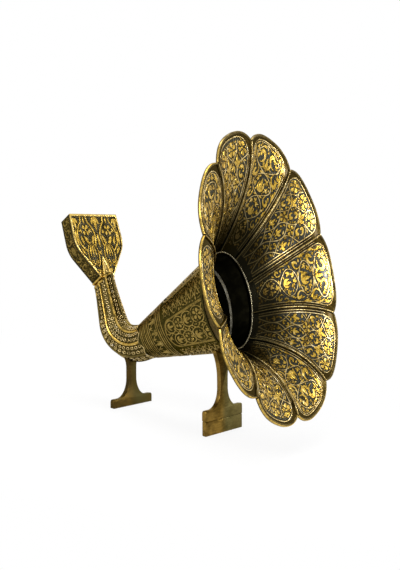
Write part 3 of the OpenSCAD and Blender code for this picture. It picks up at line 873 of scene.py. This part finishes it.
def petal_point(i, w, v, lift):
    """A point over a petal's front: w from -1 to 1 across it, v from 0 at the throat to 1 at its tip."""
    q = v * (1 + tip_reach * (1 - min(abs(w), 1) ** tip_square) / (notch_radius - throat_radius))
    radius = throat_radius + (notch_radius - throat_radius) * q
    turn = half_petal * (2 * i + 1) + w * (half_petal - petal_gap / 2 / radius)
    bow = petal_bow * (1 - w * w) * math.sin(bow_span * v)
    return flare_point(q, turn) + flare_face(q, turn) * (lift - bow)


petal_steps = 60
petal_run = [0.0]
for k in range(petal_steps):
    step = petal_point(0, 0, (k + 1) / petal_steps, 0) - petal_point(0, 0, k / petal_steps, 0)
    petal_run.append(petal_run[-1] + step.length)
petal_length = petal_run[-1]


def petal_share(y):
    """The share v at a length y along a petal's middle line."""
    low = clamp(bisect.bisect(petal_run, y) - 1, 0, petal_steps - 1)
    return (low + (y - petal_run[low]) / (petal_run[low + 1] - petal_run[low])) / petal_steps


def half_width(v):
    """Half the width of a petal at a share v."""
    return half_petal * (throat_radius + (notch_radius - throat_radius) * v)


def on_petal(i):
    """Places strokes on a petal: x across from its middle line, y along it from the throat."""
    across = 28
    table = []
    for k in range(petal_steps + 1):
        row = []
        for j in range(across + 1):
            w = 2 * j / across - 1
            foot = petal_point(i, w, k / petal_steps, 0)
            row.append((foot, (petal_point(i, w, k / petal_steps, MM) - foot) / MM))
        table.append(row)

    def place(x, y, lift):
        v = petal_share(y)
        a = (x / half_width(v) + 1) / 2 * across
        b = v * petal_steps
        j = clamp(int(a), 0, across - 1)
        k = clamp(int(b), 0, petal_steps - 1)
        near, far = table[k], table[k + 1]
        low = near[j][0].lerp(near[j + 1][0], a - j)
        high = far[j][0].lerp(far[j + 1][0], a - j)
        return low.lerp(high, b - k) + near[j][1] * lift
    return place


def spot(w, v):
    """Millimetres on the petal at shares w and v."""
    place = v * petal_steps
    low = min(int(place), petal_steps - 1)
    y = petal_run[low] + (petal_run[low + 1] - petal_run[low]) * (place - low)
    return w * half_width(v) / MM, y / MM


seam_cove = 4.8 * MM
cove_line_gap = 2.3 * MM
tip_cove = 5.9 * MM
field_first = 0.05
field_clear = 1.4 * MM
inner_inset = 2.0 * MM
inner_first = 0.60
field_lacquer = 0.06
lacquer_rough = 0.12
# Depths along the bell's axis over which the painted throat shade lifts.
throat_shade_depth = (13 * MM, 37 * MM)
tip_start = 0.70
tip_square_off = 4
tip_blunt = 0.21
side_steps = 15
tip_steps = 16


def border_width(v, inset):
    """Half the width of the field inside its border at a share v, in millimetres."""
    side = half_width(v) - seam_cove - inset
    top = 1 - (tip_cove + inset) / petal_length
    climb = clamp((v - tip_start) / (top - tip_start))
    return side * (1 - climb ** tip_square_off) ** tip_blunt / MM


def border_line(inset, first):
    """The field's border: up one side, round the tip and down the other."""
    top = 1 - (tip_cove + inset) / petal_length
    heights = [first + (tip_start - first) * k / side_steps for k in range(side_steps)]
    for k in range(tip_steps + 1):
        heights.append(tip_start + (top - tip_start) * math.sin(math.radians(90 * k / tip_steps)) ** 0.5)
    right = [(border_width(v, inset), spot(0, v)[1]) for v in heights]
    left = [(-x, y) for x, y in reversed(right[:-1])]
    return right + left


def field_room(x, y):
    """Distance inside the field's border."""
    v = petal_share(y * MM)
    top = spot(0, 1 - tip_cove / petal_length)[1] - 1.6
    return min(border_width(v, field_clear) - abs(x), top - y, y - spot(0, field_first)[1])


def scroll(x, y, radius, start, turns, widths):
    """A spiral that winds in from its outer end, which lies at the start angle in degrees."""
    count = max(8, int(abs(turns) * 16))
    line = []
    for k in range(count + 1):
        t = k / count
        reach = radius * (1 - 0.78 * t ** 0.9)
        angle = math.radians(start + 360 * turns * t)
        line.append((x + reach * math.cos(angle), y + reach * math.sin(angle)))
    return [(line, widths)]


def medallion_field():
    """Interlaced lines that part into lobes, with palmettes in the lobes and commas beside them."""
    knots = (0.065, 0.24, 0.43, 0.635, 0.915)
    reach = (0.50, 0.55, 0.58, 0.62)
    steps = 14
    lines = []
    for hand in (-1, 1):
        run = []
        for k in range(len(reach)):
            for step in range(steps):
                v = knots[k] + (knots[k + 1] - knots[k]) * step / steps
                w = hand * (-1) ** k * reach[k] * math.sin(math.pi * step / steps) ** 0.75
                run.append(spot(w, v))
        lines.append((run + [spot(0, knots[-1])], (0.6, 0.9, 1.1, 1.2)))
    shapes = leaf(*spot(0, 0.655), 90, 12, 4.2) + bead(*spot(0, 0.845), 2.4)
    for v, size in ((0.465, 12.0), (0.275, 9.0), (0.095, 6.5)):
        shapes += leaf(*spot(0, v), 90, size, 0.38 * size)
        shapes += mirrored(leaf(*spot(0.02, v), 38, 0.85 * size, 0.34 * size, 75))
    right = scroll(*spot(0.29, 0.80), 7.2, -60, -0.9, (0.8, 2.0, 3.6, 4.6, 3.2))
    right += leaf(*spot(0.05, 0.67), 42, 9.5, 3.4, 40) + leaf(*spot(0.10, 0.885), 20, 7.5, 2.6, -50)
    right += leaf(*spot(0.70, 0.775), 62, 11, 3.6, 45) + leaf(*spot(0.74, 0.745), -75, 9, 3.0, -30)
    for v, size in ((0.635, 6.0), (0.435, 4.9), (0.235, 3.7)):
        widths = [share * size for share in (0.14, 0.30, 0.55, 0.66, 0.4)]
        right += scroll(*spot(0.57, v), size, 115, 0.95, widths)
        right += leaf(*spot(0.80, v + 0.045), 92, 1.5 * size, 0.44 * size, 25)
        right += leaf(*spot(0.78, v - 0.045), -95, 1.5 * size, 0.44 * size, -30)
        right += leaf(*spot(0.10, v), 0, size, 0.38 * size)
    shapes += mirrored(right)
    return lines, shapes


def lattice_field():
    """Crossing vines that climb in steps, with flowers, leaf pairs and commas in the openings."""
    slope, gap, middle = 2.5, 0.56, 0.5
    field_run, hook_size, steps = 0.86, 0.072, 60
    lines = []
    for k in range(-4, 5):
        for side in (-1, 1):
            run = []
            for step in range(steps + 1):
                v = field_first + field_run * step / steps
                hook = hook_size * math.sin(2 * math.pi * (v - middle) * slope / gap)
                w = side * (gap * k + slope * (v - middle) + hook)
                if abs(w) * half_width(v) / MM < border_width(v, 0.6 * MM):
                    run.append(spot(w, v))
            if len(run) > 3:
                lines += [(run, (0.8, 1.1, 1.1, 0.8))]
    shapes = []
    for a in range(-5, 6):
        for b in range(-5, 6):
            w = gap * (a + b + 1) / 2
            v = middle + gap * (b - a) / (2 * slope)
            x, y = spot(w, v)
            cell = gap / 2 * half_width(v) / MM
            if abs(w) > 0.9 or not 0.08 < v < 0.95 or field_room(x, y) < 0.42 * cell:
                continue
            kind = (a + 2 * b) % 3
            if kind == 0:
                shapes += flower(x, y, 0.70 * cell, 5, 90 + 36 * (a % 2))
            elif kind == 1:
                shapes += trefoil(x, y - 0.62 * cell, 90, 1.15 * cell)
                shapes += leaf(x, y - 0.60 * cell, -90, 0.5 * cell, 0.26 * cell)
            else:
                for turn in (0, 180):
                    widths = [share * cell for share in (0.10, 0.26, 0.46, 0.50, 0.3)]
                    lean = math.radians(turn + 70)
                    shapes += scroll(x + 0.30 * cell * math.cos(lean), y + 0.34 * cell * math.sin(lean),
                                     0.42 * cell, turn - 60, 0.75, widths)
    return lines, shapes


def field_filling(lines, shapes):
    """Small work that fills what a field's main shapes leave free."""
    return fill_gaps(lines + shapes, (-40, 0), (40, petal_length / MM), field_room, (2.6, 1.8, 1.25))


def cove_share(w, v):
    """1 on the smooth cove inside a petal's edge and seams, 0 on its chased field."""
    inside = border_width(v, 0) - abs(w) * half_width(v) / MM
    inside = min(inside, (1 - v) * petal_length / MM - tip_cove / MM)
    return clamp(0.5 - inside)


def throat_shade(place):
    """Painted shade: 0 deep in the throat, where it is darkest, 1 from the middle of the petals outwards.
    """
    return place.less(throat_centre).along(bell_axis).rise(*throat_shade_depth)


def lacquer(shader, place):
    """A thin clear lacquer over a metal, which gives its white glints; it fades out towards the throat with
    the painted shade.
    """
    place.feed(shader.inputs["Coat Weight"], throat_shade(place) * field_lacquer)
    shader.inputs["Coat Roughness"].default_value = lacquer_rough


petal_finish, petal_shader, petal_place = start_finish("petal_ground", ground_edge)
lacquer(petal_shader, petal_place)
cove = Wire(petal_finish.node_tree, petal_finish.node_tree.nodes.new("ShaderNodeAttribute").outputs["Fac"])
cove.socket.node.attribute_name = "cove"
petal_cloud = petal_place.grain(8 * MM)
petal_pit = petal_place.pits(0.9 * MM)
petal_ground = (petal_cloud * 0.5 + petal_pit * 0.5).rise(0.30, 0.62).blend(ground_dark, ground_slate)
# Painted shade: the petals are painted near black deep in the throat.
petal_colour = throat_shade(petal_place).blend(shade_black, cove.blend(petal_ground, cove_dark))
petal_rough = cove * -0.10 + petal_cloud * 0.2 + 0.26
end_finish(petal_shader, petal_colour, petal_rough, petal_pit * (1 - cove), 0.12 * MM)


def field_metal(name, gold, pale, brown, deep):
    """Chased work of the petals, which is painted darker towards the throat as shade."""
    material, shader, place = start_finish(name)
    cloud = place.grain(7 * MM)
    fleck = place.grain(1.3 * MM)
    shade = cloud * 0.5 + fleck * 0.5
    colour = shade.rise(0.38, 0.53).blend(brown, gold)
    colour = (shade.rise(0.54, 0.66) * 0.8).blend(colour, pale)
    colour = throat_shade(place).blend(deep, colour)
    end_finish(shader, colour, cloud * 0.2 + 0.17, fleck, 0.12 * MM)
    lacquer(shader, place)
    return material


field_gold = field_metal("petal_chased_gold", petal_gold, petal_pale, petal_brown, throat_shade_gold)
field_tan = field_metal("petal_line_gold", line_tan, line_pale, petal_brown, throat_shade_tan)
# Painted shade: a thin dark band round each raised stroke, as the shadow at its foot.
outline_shade_finish, outline_shade_shader, outline_shade_place = start_finish("petal_painted_shade_outline", outline_shade_edge)
lacquer(outline_shade_shader, outline_shade_place)
outline_shade_cloud = outline_shade_place.grain(2 * MM)
outline_shade_colour = outline_shade_cloud.rise(0.4, 0.7).blend(outline_shade_dark, ground_dark)
end_finish(outline_shade_shader, outline_shade_colour, outline_shade_cloud * 0.2 + 0.34, outline_shade_cloud, 0.05 * MM)

roll_finish = relief_gold("petal_roll_brown", edge_brown, edge_olive, cove_dark, 0.18)
lip_finish, lip_shader, lip_place = start_finish("petal_lip_gold")
lip_cloud = lip_place.grain(5 * MM)
lip_fleck = lip_place.grain(1.2 * MM)
lip_shade = lip_cloud * 0.6 + lip_fleck * 0.4
# Painted light: the lip is bright gold on the petals near and below, as if lit, and duller brown and tan on
# those far and above, as painted shade.
lip_shade_side = lip_place.less(throat_centre).along(Vector((0, 1, 0.6))).rise(-20 * MM, 50 * MM)
lip_lit_colour = lip_shade.rise(0.32, 0.55).blend(edge_olive, edge_gold)
lip_shaded_colour = lip_shade.rise(0.40, 0.66).blend(edge_brown, edge_tan)
end_finish(lip_shader, lip_shade_side.blend(lip_lit_colour, lip_shaded_colour), lip_cloud * 0.2 + 0.16, lip_fleck, 0.05 * MM)
back_finish = relief_gold("petal_back_brass", back_brown, cone_gold, cone_olive, 0.26)

field_border = [(border_line(0, field_first), (0.7, 0.9, 1.1, 0.9, 0.7))]
inner_border = [(border_line(inner_inset, inner_first), (0.4, 0.7, 0.7, 0.4))]
cove_line = border_line(-cove_line_gap, field_first)[:side_steps + 3]
cove_line = mirrored([(cove_line, (0.4, 0.6, 0.6, 0.3))])
fields = (medallion_field(), lattice_field())
fillings = [field_filling(*field) for field in fields]
outline_shade_spare = 1.1


def widened(strokes):
    """The strokes made wider, for the dark bands of painted shade round them."""
    return [(line, [width + outline_shade_spare for width in widths]) for line, widths in strokes]


petal_across = 56
petal_along = 72
petal_sharp = math.radians(50)
roll_reach = 98.5
roll_steps = 24
roll_longest = 5
roll_height = 1.0 * MM
lip_height = 1.1 * MM
back_height = 0.34 * MM
outline_shade_height = 0.05 * MM
line_height = 0.22 * MM
shape_height = 0.26 * MM
roll_line = [([((k / roll_steps - 1) * roll_reach, 0) for k in range(2 * roll_steps + 1)], (1, 1))]


def at_tip(i, inset, wide):
    """Places a roll round a petal's tip: x in hundredths across the petal, y in shares of its width."""
    def place(x, y, lift):
        return petal_point(i, x / MM / 100, 1 + (y / MM * wide - inset) / petal_length, lift)
    return place


def behind(place):
    """Places strokes on the back of a sheet whose front they would lie on."""
    return lambda x, y, lift: place(x, y, -petal_sheet - lift)


for i in range(petal_count):
    node = f"petal_{i + 1:02d}"
    sheet, shares = sheet_from_grid(
        f"{node}_sheet", petal_across, petal_along, lambda a, b: petal_point(i, 2 * a - 1, b, 0),
    )
    mark = sheet.data.attributes.new("cove", "FLOAT", "POINT")
    mark.data.foreach_set("value", [cove_share(2 * a - 1, b) for a, b in shares])
    close_sheet(sheet, petal_sheet, petal_sharp)
    settle(sheet, petal_finish, "petal_brass", node)
    sheet.data.materials.append(back_finish)
    for face in sheet.data.polygons:
        face.material_index = 0 if face.normal.dot(listener - face.center) > 0 else 1
    for name, inset, wide, height, finish in (
        ("roll", 0.5 * edge_roll, edge_roll, roll_height, roll_finish),
        ("lip", 0.4 * lip_width, lip_width, lip_height, lip_finish),
    ):
        raised(
            f"{node}_{name}", roll_line, at_tip(i, inset, wide),
            height, finish, "petal_brass", ROUND_RELIEF, roll_longest,
        )
    place = on_petal(i)
    lines, shapes = fields[i % 2]
    raised(f"{node}_back_chasing", lines + shapes, behind(place), back_height, cone_bright, "petal_brass")
    lines = lines + field_border + cove_line + ([] if i % 2 else inner_border)
    shapes = shapes + fillings[i % 2]
    shade_outlines = widened(lines + shapes)
    raised(f"{node}_grooves", shade_outlines, place, outline_shade_height, outline_shade_finish, "petal_brass")
    raised(f"{node}_lines", lines, place, line_height, field_tan, "petal_brass")
    raised(f"{node}_chasing", shapes, place, shape_height, field_gold, "petal_brass")


# Seam strips
# Half-round brass wire soldered over the ten joints between the petals. It has gone brown, with a thin
# bright strip along its crest as a painted highlight, and is painted near black as shade deep in the
# throat.
strip_width = 2.4
strip_height = 1.1 * MM
strip_seat = 0.2 * MM
crest_width = 0.9
crest_height = 0.25 * MM
crest_seat = strip_seat + 0.9 * strip_height
strip_first = 0.003
strip_share = 0.982
strip_steps = 60
strip_finish, strip_shader, strip_place = start_finish("seam_wire_brown", dull_edge)
strip_cloud = strip_place.grain(5 * MM)
strip_colour = strip_cloud.rise(0.35, 0.65).blend(cove_dark, edge_brown)
# Painted shade: the wire is painted near black deep in the throat.
strip_colour = throat_shade(strip_place).blend(shade_black, strip_colour)
end_finish(strip_shader, strip_colour, strip_cloud * 0.2 + 0.2, strip_place.grain(0.8 * MM), 0.03 * MM)
strip_line = [([(0, strip_first + strip_share * k / strip_steps) for k in range(strip_steps + 1)], (1, 1))]


def on_seam(seam, wide, base):
    """Places a strip over a seam: x in shares of its width, y as the share from throat to notches."""
    def place(x, y, lift):
        q = y / MM
        turn = seam + x * wide / (throat_radius + (notch_radius - throat_radius) * q)
        return flare_point(q, turn) + flare_face(q, seam) * (base + lift)
    return place


for i in range(petal_count):
    seam = 2 * half_petal * i
    raised(
        f"seam_wire_{i + 1:02d}", strip_line, on_seam(seam, strip_width, strip_seat), strip_height,
        strip_finish, "seam_brass", ROUND_RELIEF, stands_for=[f"seam_strip_{i + 1:02d}"],
    )
    # Painted highlight: a thin bright strip along each wire's crest.
    raised(
        f"seam_crest_highlight_{i + 1:02d}", strip_line, on_seam(seam, crest_width, crest_seat), crest_height,
        field_tan, "seam_brass", ROUND_RELIEF,
    )


# Pocket
# A flat box of sheet brass that a phone stands in: two plates, two bent sides and a bright frame round the
# front. Palmettes and fans are chased on its plates, scrolls on its sides. The neck's tongue laps its foot.
pocket_ground = (0.022, 0.018, 0.009, 1)
pocket_slate = (0.078, 0.069, 0.043, 1)
pocket_gold = (0.43, 0.275, 0.038, 1)
pocket_pale = (0.76, 0.61, 0.26, 1)
rim_gold = (0.72, 0.52, 0.150, 1)
side_gold = (0.22, 0.152, 0.037, 1)
rim_height = 0.8 * MM
rim_width = 2.0
rim_clear = 0.6
rim_easing = 0.25 * MM
pocket_height = 59.9
shoulder_up = 30.4
shoulder_round = 9.0
mouth_half = 39.1
shoulder_half = 40.6
foot_half = 11.7
collar_lift = 1.66
tongue_length = 20.8
tongue_half = 9.0
foot_slope = 0.72
front_height = 0.30 * MM
back_plate_height = 0.40 * MM
side_height = 0.32 * MM
front_face = pocket_thickness / 2 - rim_height
pocket_matt = chased_ground("pocket_matted_ground", pocket_ground, pocket_slate, 0.8 * MM, 0.28)
side_matt = chased_ground("pocket_side_ground", neck_ground, neck_brown, 0.8 * MM, 0.30)
pocket_bright = relief_gold("pocket_chased_gold", pocket_gold, pocket_pale, petal_brown, 0.20)
side_bright = relief_gold("pocket_side_gold", side_gold, cone_gold, neck_brown, 0.24)
rim_finish = relief_gold("pocket_rim_gold", rim_gold, pocket_pale, petal_brown, 0.18)
dress(pocket_matt, "pocket_front", "pocket_back")
dress(side_matt, "pocket_left", "pocket_right")
dress(neck_bright, "neck_collar", "neck_tongue")
eased_copy("pocket_rim", rim_easing, rim_finish, "rim_brass")


def on_plate(depth, facing):
    """Places strokes on a plate of the pocket: x across, y up from the foot."""
    def place(x, y, lift):
        slip = (depth - pocket_thickness / 2) * math.tan(mouth_slope)
        return pocket_foot + pocket_right * (depth + facing * lift) + pocket_up * (y + slip) + x * Y_AXIS
    return place


def plate_room(x, y):
    """Distance inside the frame of the front and outside the tongue."""
    climb = (y - collar_lift) / (shoulder_up - collar_lift)
    if y > shoulder_up:
        share = (y - shoulder_up) / (pocket_height - shoulder_up)
        half = shoulder_half + (mouth_half - shoulder_half) * share
    else:
        half = foot_half + (shoulder_half - foot_half) * climb
    inside = (half - rim_width - rim_clear - abs(x)) * (foot_slope if climb < 1 else 1)
    if y > tongue_length:
        tongue = math.hypot(x, y - tongue_length)
    else:
        tongue = abs(x) - tongue_half * (1 - y / tongue_length)
    return min(inside, pocket_height - rim_width - rim_clear - y, tongue - 0.5)


def vine(points, widths):
    """A chased line that curves smoothly through the points, its widths spread along it."""
    parts = 5
    ends = [points[0], *points, points[-1]]
    line = []
    for before, a, b, after in zip(ends, ends[1:], ends[2:], ends[3:]):
        for step in range(parts):
            t = step / parts
            line.append(tuple(
                0.5 * (2 * p1 + (p2 - p0) * t + (2 * p0 - 5 * p1 + 4 * p2 - p3) * t * t
                       + (3 * p1 - p0 - 3 * p2 + p3) * t ** 3)
                for p0, p1, p2, p3 in zip(before, a, b, after)
            ))
    return [([*line, points[-1]], widths)]


def moved(strokes, x, y):
    """The strokes shifted."""
    return [([(a + x, b + y) for a, b in line], widths) for line, widths in strokes]


palmette_line = (1.6, 1.9, 1.6)
palmette_side = [(12.8, 33), (14.0, 41), (10.2, 48.5), (5.6, 53), (4.6, 58)]
palmette = vine([(2.2, 25.2), (6.5, 27.0)] + palmette_side, palmette_line)
palmette += vine([(-10.8, 29.8)] + [(-x, y) for x, y in palmette_side], palmette_line)
palmette += flower(0, 45.0, 5.6, 4, 45) + leaf(0, 50.8, 90, 6.5, 2.4) + leaf(6.6, 31.5, 72, 8.5, 3.4)
palmette += leaf(-7.4, 32.0, 116, 9, 4.4) + leaf(-1.8, 32.0, 52, 9.5, 4.6)
fan_side = [(1.2, 34.0), (6.4, 29.0), (8.6, 22.5), (7.6, 15.0), (4.0, 11.0), (0.6, 14.0)]
fan = leaf(0, 32, -90, 12.5, 2.0) + mirrored(leaf(2.0, 31.5, -74, 12, 1.9, -8))
fan += mirrored(vine(fan_side, (0.9, 1.3, 1.1)))
fan += mirrored(ring(3.6, 15.4, 1.5, 1.0, ring_sides))
plate_work = moved(palmette, 18.6, 0) + moved(fan, 13.6, 0)
plate_work += leaf(34.2, 31, 80, 15, 3.4, 20) + leaf(26.0, 22.5, 35, 9, 3.0, 30)
plate_work += trefoil(34.0, 56.0, -95, 10)
plate_work = mirrored(plate_work) + trefoil(0, 57.2, -90, 12.5) + leaf(0, 29, 90, 13, 3.4)
plate_work += fill_gaps(plate_work, (-40, 3), (40, 59), plate_room, (2.5,))
# Painted shade round the chased work of the front, as on the petals.
plate_shade_outlines = widened(plate_work)
on_front = on_plate(front_face, 1)
on_back = on_plate(-pocket_thickness / 2, -1)
raised("pocket_front_chasing", plate_work, on_front, front_height, pocket_bright, "pocket_brass")
raised("pocket_front_shade_outlines", plate_shade_outlines, on_front, outline_shade_height, outline_shade_finish, "pocket_brass")
raised("pocket_back_chasing", plate_work, on_back, back_plate_height, pocket_bright, "pocket_brass")


def side_outline():
    """The pocket's edge in millimetres from its mouth round its shoulder to its foot."""
    mouth = Vector((mouth_half, pocket_height))
    shoulder = Vector((shoulder_half, shoulder_up))
    foot = Vector((foot_half, collar_lift))
    upper = shoulder + shoulder_round * (mouth - shoulder).normalized()
    lower = shoulder + shoulder_round * (foot - shoulder).normalized()
    turn = []
    for k in range(6):
        t = k / 5
        turn.append((1 - t) ** 2 * upper + 2 * t * (1 - t) * shoulder + t * t * lower)
    return [mouth, *turn, foot]


outline = side_outline()
outline_run = [0.0]
for a, b in zip(outline, outline[1:]):
    outline_run.append(outline_run[-1] + (b - a).length)


def on_edge(hand):
    """Places strokes on a side of the pocket: x from its middle to its front, y down from its mouth."""
    def place(x, y, lift):
        low = clamp(bisect.bisect(outline_run, y / MM) - 1, 0, len(outline) - 2)
        a, b = outline[low], outline[low + 1]
        way = (b - a).normalized()
        edge = (a + way * (y / MM - outline_run[low])) * MM
        across = edge.x - way.y * lift
        up = edge.y + way.x * lift + (x - pocket_thickness / 2) * math.tan(mouth_slope)
        return pocket_foot + pocket_right * x + pocket_up * up + hand * across * Y_AXIS
    return place


side_end = outline_run[-1]
side_middle = -0.4
side_first = 4.5
side_step = 9.3


def edge_room(x, y):
    """Distance inside the borders of a side."""
    return min(4.2 - abs(x - side_middle), y - 1, side_end - 2 - y)


side_work = []
for k in range(7):
    y = side_first + side_step * k
    hand = 1 if k % 2 else -1
    if k == 3:
        side_work += leaf(side_middle + 0.1, y - 4.6, 90, 9.2, 4.8)
    else:
        side_work += scroll(side_middle, y, 3.5, 90 * hand, hand, (0.8, 1.3, 1.9, 2.2, 1.6))
    side_work += leaf(hand * 2.6 + side_middle, y + 3.2, 90, 4.2, 1.4, hand * 40)
side_work += fill_gaps(side_work, (-4.5, 1), (4, side_end), edge_room, (1.4, 0.9, 0.6))
for name, hand in (("left", -1), ("right", 1)):
    raised(f"pocket_{name}_chasing", side_work, on_edge(hand), side_height, side_bright, "pocket_brass")

neck_corner = neck_top_radius * corner_share
tongue_tip = pocket_foot + pocket_right * front_face + pocket_up * tongue_length * MM


def tongue_corner(turn):
    """The foot of the tongue at a corner of the neck."""
    ahead = neck_corner * math.cos(turn)
    up = (ahead - pocket_thickness / 2) * math.tan(mouth_slope) + collar_lift * MM
    return pocket_foot + pocket_right * ahead + pocket_up * up + neck_corner * math.sin(turn) * Y_AXIS


tongue_run = (tongue_tip - tongue_corner(0)).length / MM


def up_tongue(corner, across):
    """Places strokes up the tongue: x along a direction across it, y from its foot to its tip."""
    def place(x, y, lift):
        return corner.lerp(tongue_tip, y / MM / tongue_run) + across * x + pocket_right * lift
    return place


tongue_ridge = [([(0, y) for y in range(int(tongue_run))], (1.9, 1.5, 0.8))]
tongue_ridge_height = 0.5 * MM
tongue_ring_height = 0.35 * MM
for k in (-1, 0, 1):
    raised(
        f"tongue_ridge_{k + 2}", tongue_ridge, up_tongue(tongue_corner(k * eighth), Y_AXIS),
        tongue_ridge_height, rim_finish, "neck_brass", ROUND_RELIEF,
    )
tongue_ring_first, tongue_ring_step = 2.4, 3.0
tongue_ring_radius, tongue_ring_taper = 1.15, 0.14
tongue_rings = []
for k in range(5):
    radius = tongue_ring_radius - tongue_ring_taper * k
    tongue_rings += ring(0, tongue_ring_first + tongue_ring_step * k, radius, ring_line, ring_sides)
for k in (0, 1):
    low, high = tongue_corner((k - 1) * eighth), tongue_corner(k * eighth)
    raised(
        f"tongue_chasing_{k + 1}", tongue_rings, up_tongue((low + high) / 2, (high - low).normalized()),
        tongue_ring_height, neck_glint, "neck_brass", ROUND_RELIEF,
    )


# Studio
# A white floor that fades into a white backdrop, lit softly from beside the camera, before the bell and
# above. Two narrow lamps make one petal glint. The camera leans as the one that took the picture did.
picture_height = 570
focal_pixels = 1358.577
view_turn = math.radians(27.6557)
view_rise = math.radians(7.5041)
view_roll = math.radians(-9.7687)
view_distance = 1199.7 * MM
view_target = Vector((48.58, 0, 121.76)) * MM
sensor = 36
reach = math.cos(view_rise)
back = Vector((math.sin(view_turn) * reach, -math.cos(view_turn) * reach, math.sin(view_rise)))
level = Vector((math.cos(view_turn), math.sin(view_turn), 0))
upright = back.cross(level)
right = level * math.cos(view_roll) - upright * math.sin(view_roll)
up = level * math.sin(view_roll) + upright * math.cos(view_roll)
eye = view_target + back * view_distance
bpy.ops.object.camera_add(location=eye)
camera = bpy.context.object
camera.rotation_mode = "QUATERNION"
camera.rotation_quaternion = Matrix((right, up, back)).transposed().to_quaternion()
camera.data.sensor_width = sensor
camera.data.lens = focal_pixels * sensor / picture_height
bpy.context.scene.camera = camera

world = bpy.data.worlds.new("white_studio")
bpy.context.scene.world = world
world.use_nodes = True


def seen_directly(tree):
    """1 for what the camera, a reflection or glass looks at, 0 for the light that falls on the object."""
    path = tree.nodes.new("ShaderNodeLightPath")
    seen = Wire(tree, path.outputs["Is Camera Ray"])
    for kind in ("Is Glossy Ray", "Is Transmission Ray"):
        seen = seen.math("MAXIMUM", seen, Wire(tree, path.outputs[kind]))
    return seen


sky_light = 0.55
sky = world.node_tree.nodes["Background"]
sky.inputs["Color"].default_value = (1, 1, 1, 1)
sky_seen = seen_directly(world.node_tree)
sky_seen.feed(sky.inputs["Strength"], sky_seen * (1 - sky_light) + sky_light)

floor_size = 8
floor_drop = 0.5 * MM
floor_white = (0.92, 0.92, 0.92, 1)
fade_centre = Vector((50, 0, 0)) * MM
fade_from, fade_to = 100 * MM, 330 * MM
near_glow = 0.88
bpy.ops.mesh.primitive_plane_add(size=floor_size, location=(0, 0, 0))
floor = bpy.context.object
floor.name = "floor"
for corner in floor.data.vertices:
    corner.co.z = -floor_drop
floor_finish = bpy.data.materials.new("white_floor")
floor_finish.use_nodes = True
floor_tree = floor_finish.node_tree
floor_shader = floor_tree.nodes["Principled BSDF"]
floor_shader.inputs["Base Color"].default_value = floor_white
floor_shader.inputs["Roughness"].default_value = 0.9
floor_seen = seen_directly(floor_tree)
floor_place = Wire(floor_tree, floor_tree.nodes.new("ShaderNodeTexCoord").outputs["Object"])
far_off = floor_place.less(fade_centre)
far_off = far_off.node("VectorMath", {"operation": "LENGTH"}, {0: far_off}, "Value")
fading = far_off.rise(fade_from, fade_to) * (1 - near_glow) + near_glow
glow = floor_seen.node("Emission", {}, {"Color": (1, 1, 1, 1), "Strength": 1.0})
floor_mix = floor_seen.node("MixShader", {}, {
    0: floor_seen * fading, 1: Wire(floor_tree, floor_shader.outputs[0]), 2: glow,
})
floor_mix.feed(floor_tree.nodes["Material Output"].inputs["Surface"], floor_mix)
floor.data.materials.append(floor_finish)

glint_petal, glint_across, glint_along = 2, 0.05, 0.80
glint_distance = 1.1
glint_spot = petal_point(glint_petal, glint_across, glint_along, 0)
glint_face = (petal_point(glint_petal, glint_across, glint_along, MM) - glint_spot).normalized()
glint_view = (eye - glint_spot).normalized()
glint_from = 2 * glint_face.dot(glint_view) * glint_face - glint_view
glint_place = glint_spot + glint_from * glint_distance
# Each lamp has a place and an aim in metres, a width in metres, a power in watts and a spread in degrees.
lamps = (
    ("key_light", Vector((0.2, -1.3, 1.2)), view_target, 0.7, 16, 180),
    ("front_light", Vector((1.5, -0.3, 0.6)), view_target, 0.5, 11.5, 180),
    ("top_light", Vector((-0.3, 0.4, 1.5)), view_target, 0.9, 10, 180),
    ("side_light", glint_place, glint_spot, 0.42, 0.09, 10),
    ("glint_light", glint_place, glint_spot, 0.03, 0.0008, 2.5),
)
for name, place, aim, size, power, spread in lamps:
    bpy.ops.object.light_add(type="AREA", location=place)
    lamp = bpy.context.object
    lamp.name = name
    lamp.data.size = size
    lamp.data.energy = power
    lamp.rotation_mode = "QUATERNION"
    lamp.data.spread = math.radians(spread)
    lamp.rotation_quaternion = (aim - place).to_track_quat("-Z", "Y")

bpy.context.scene.view_settings.view_transform = "Standard"
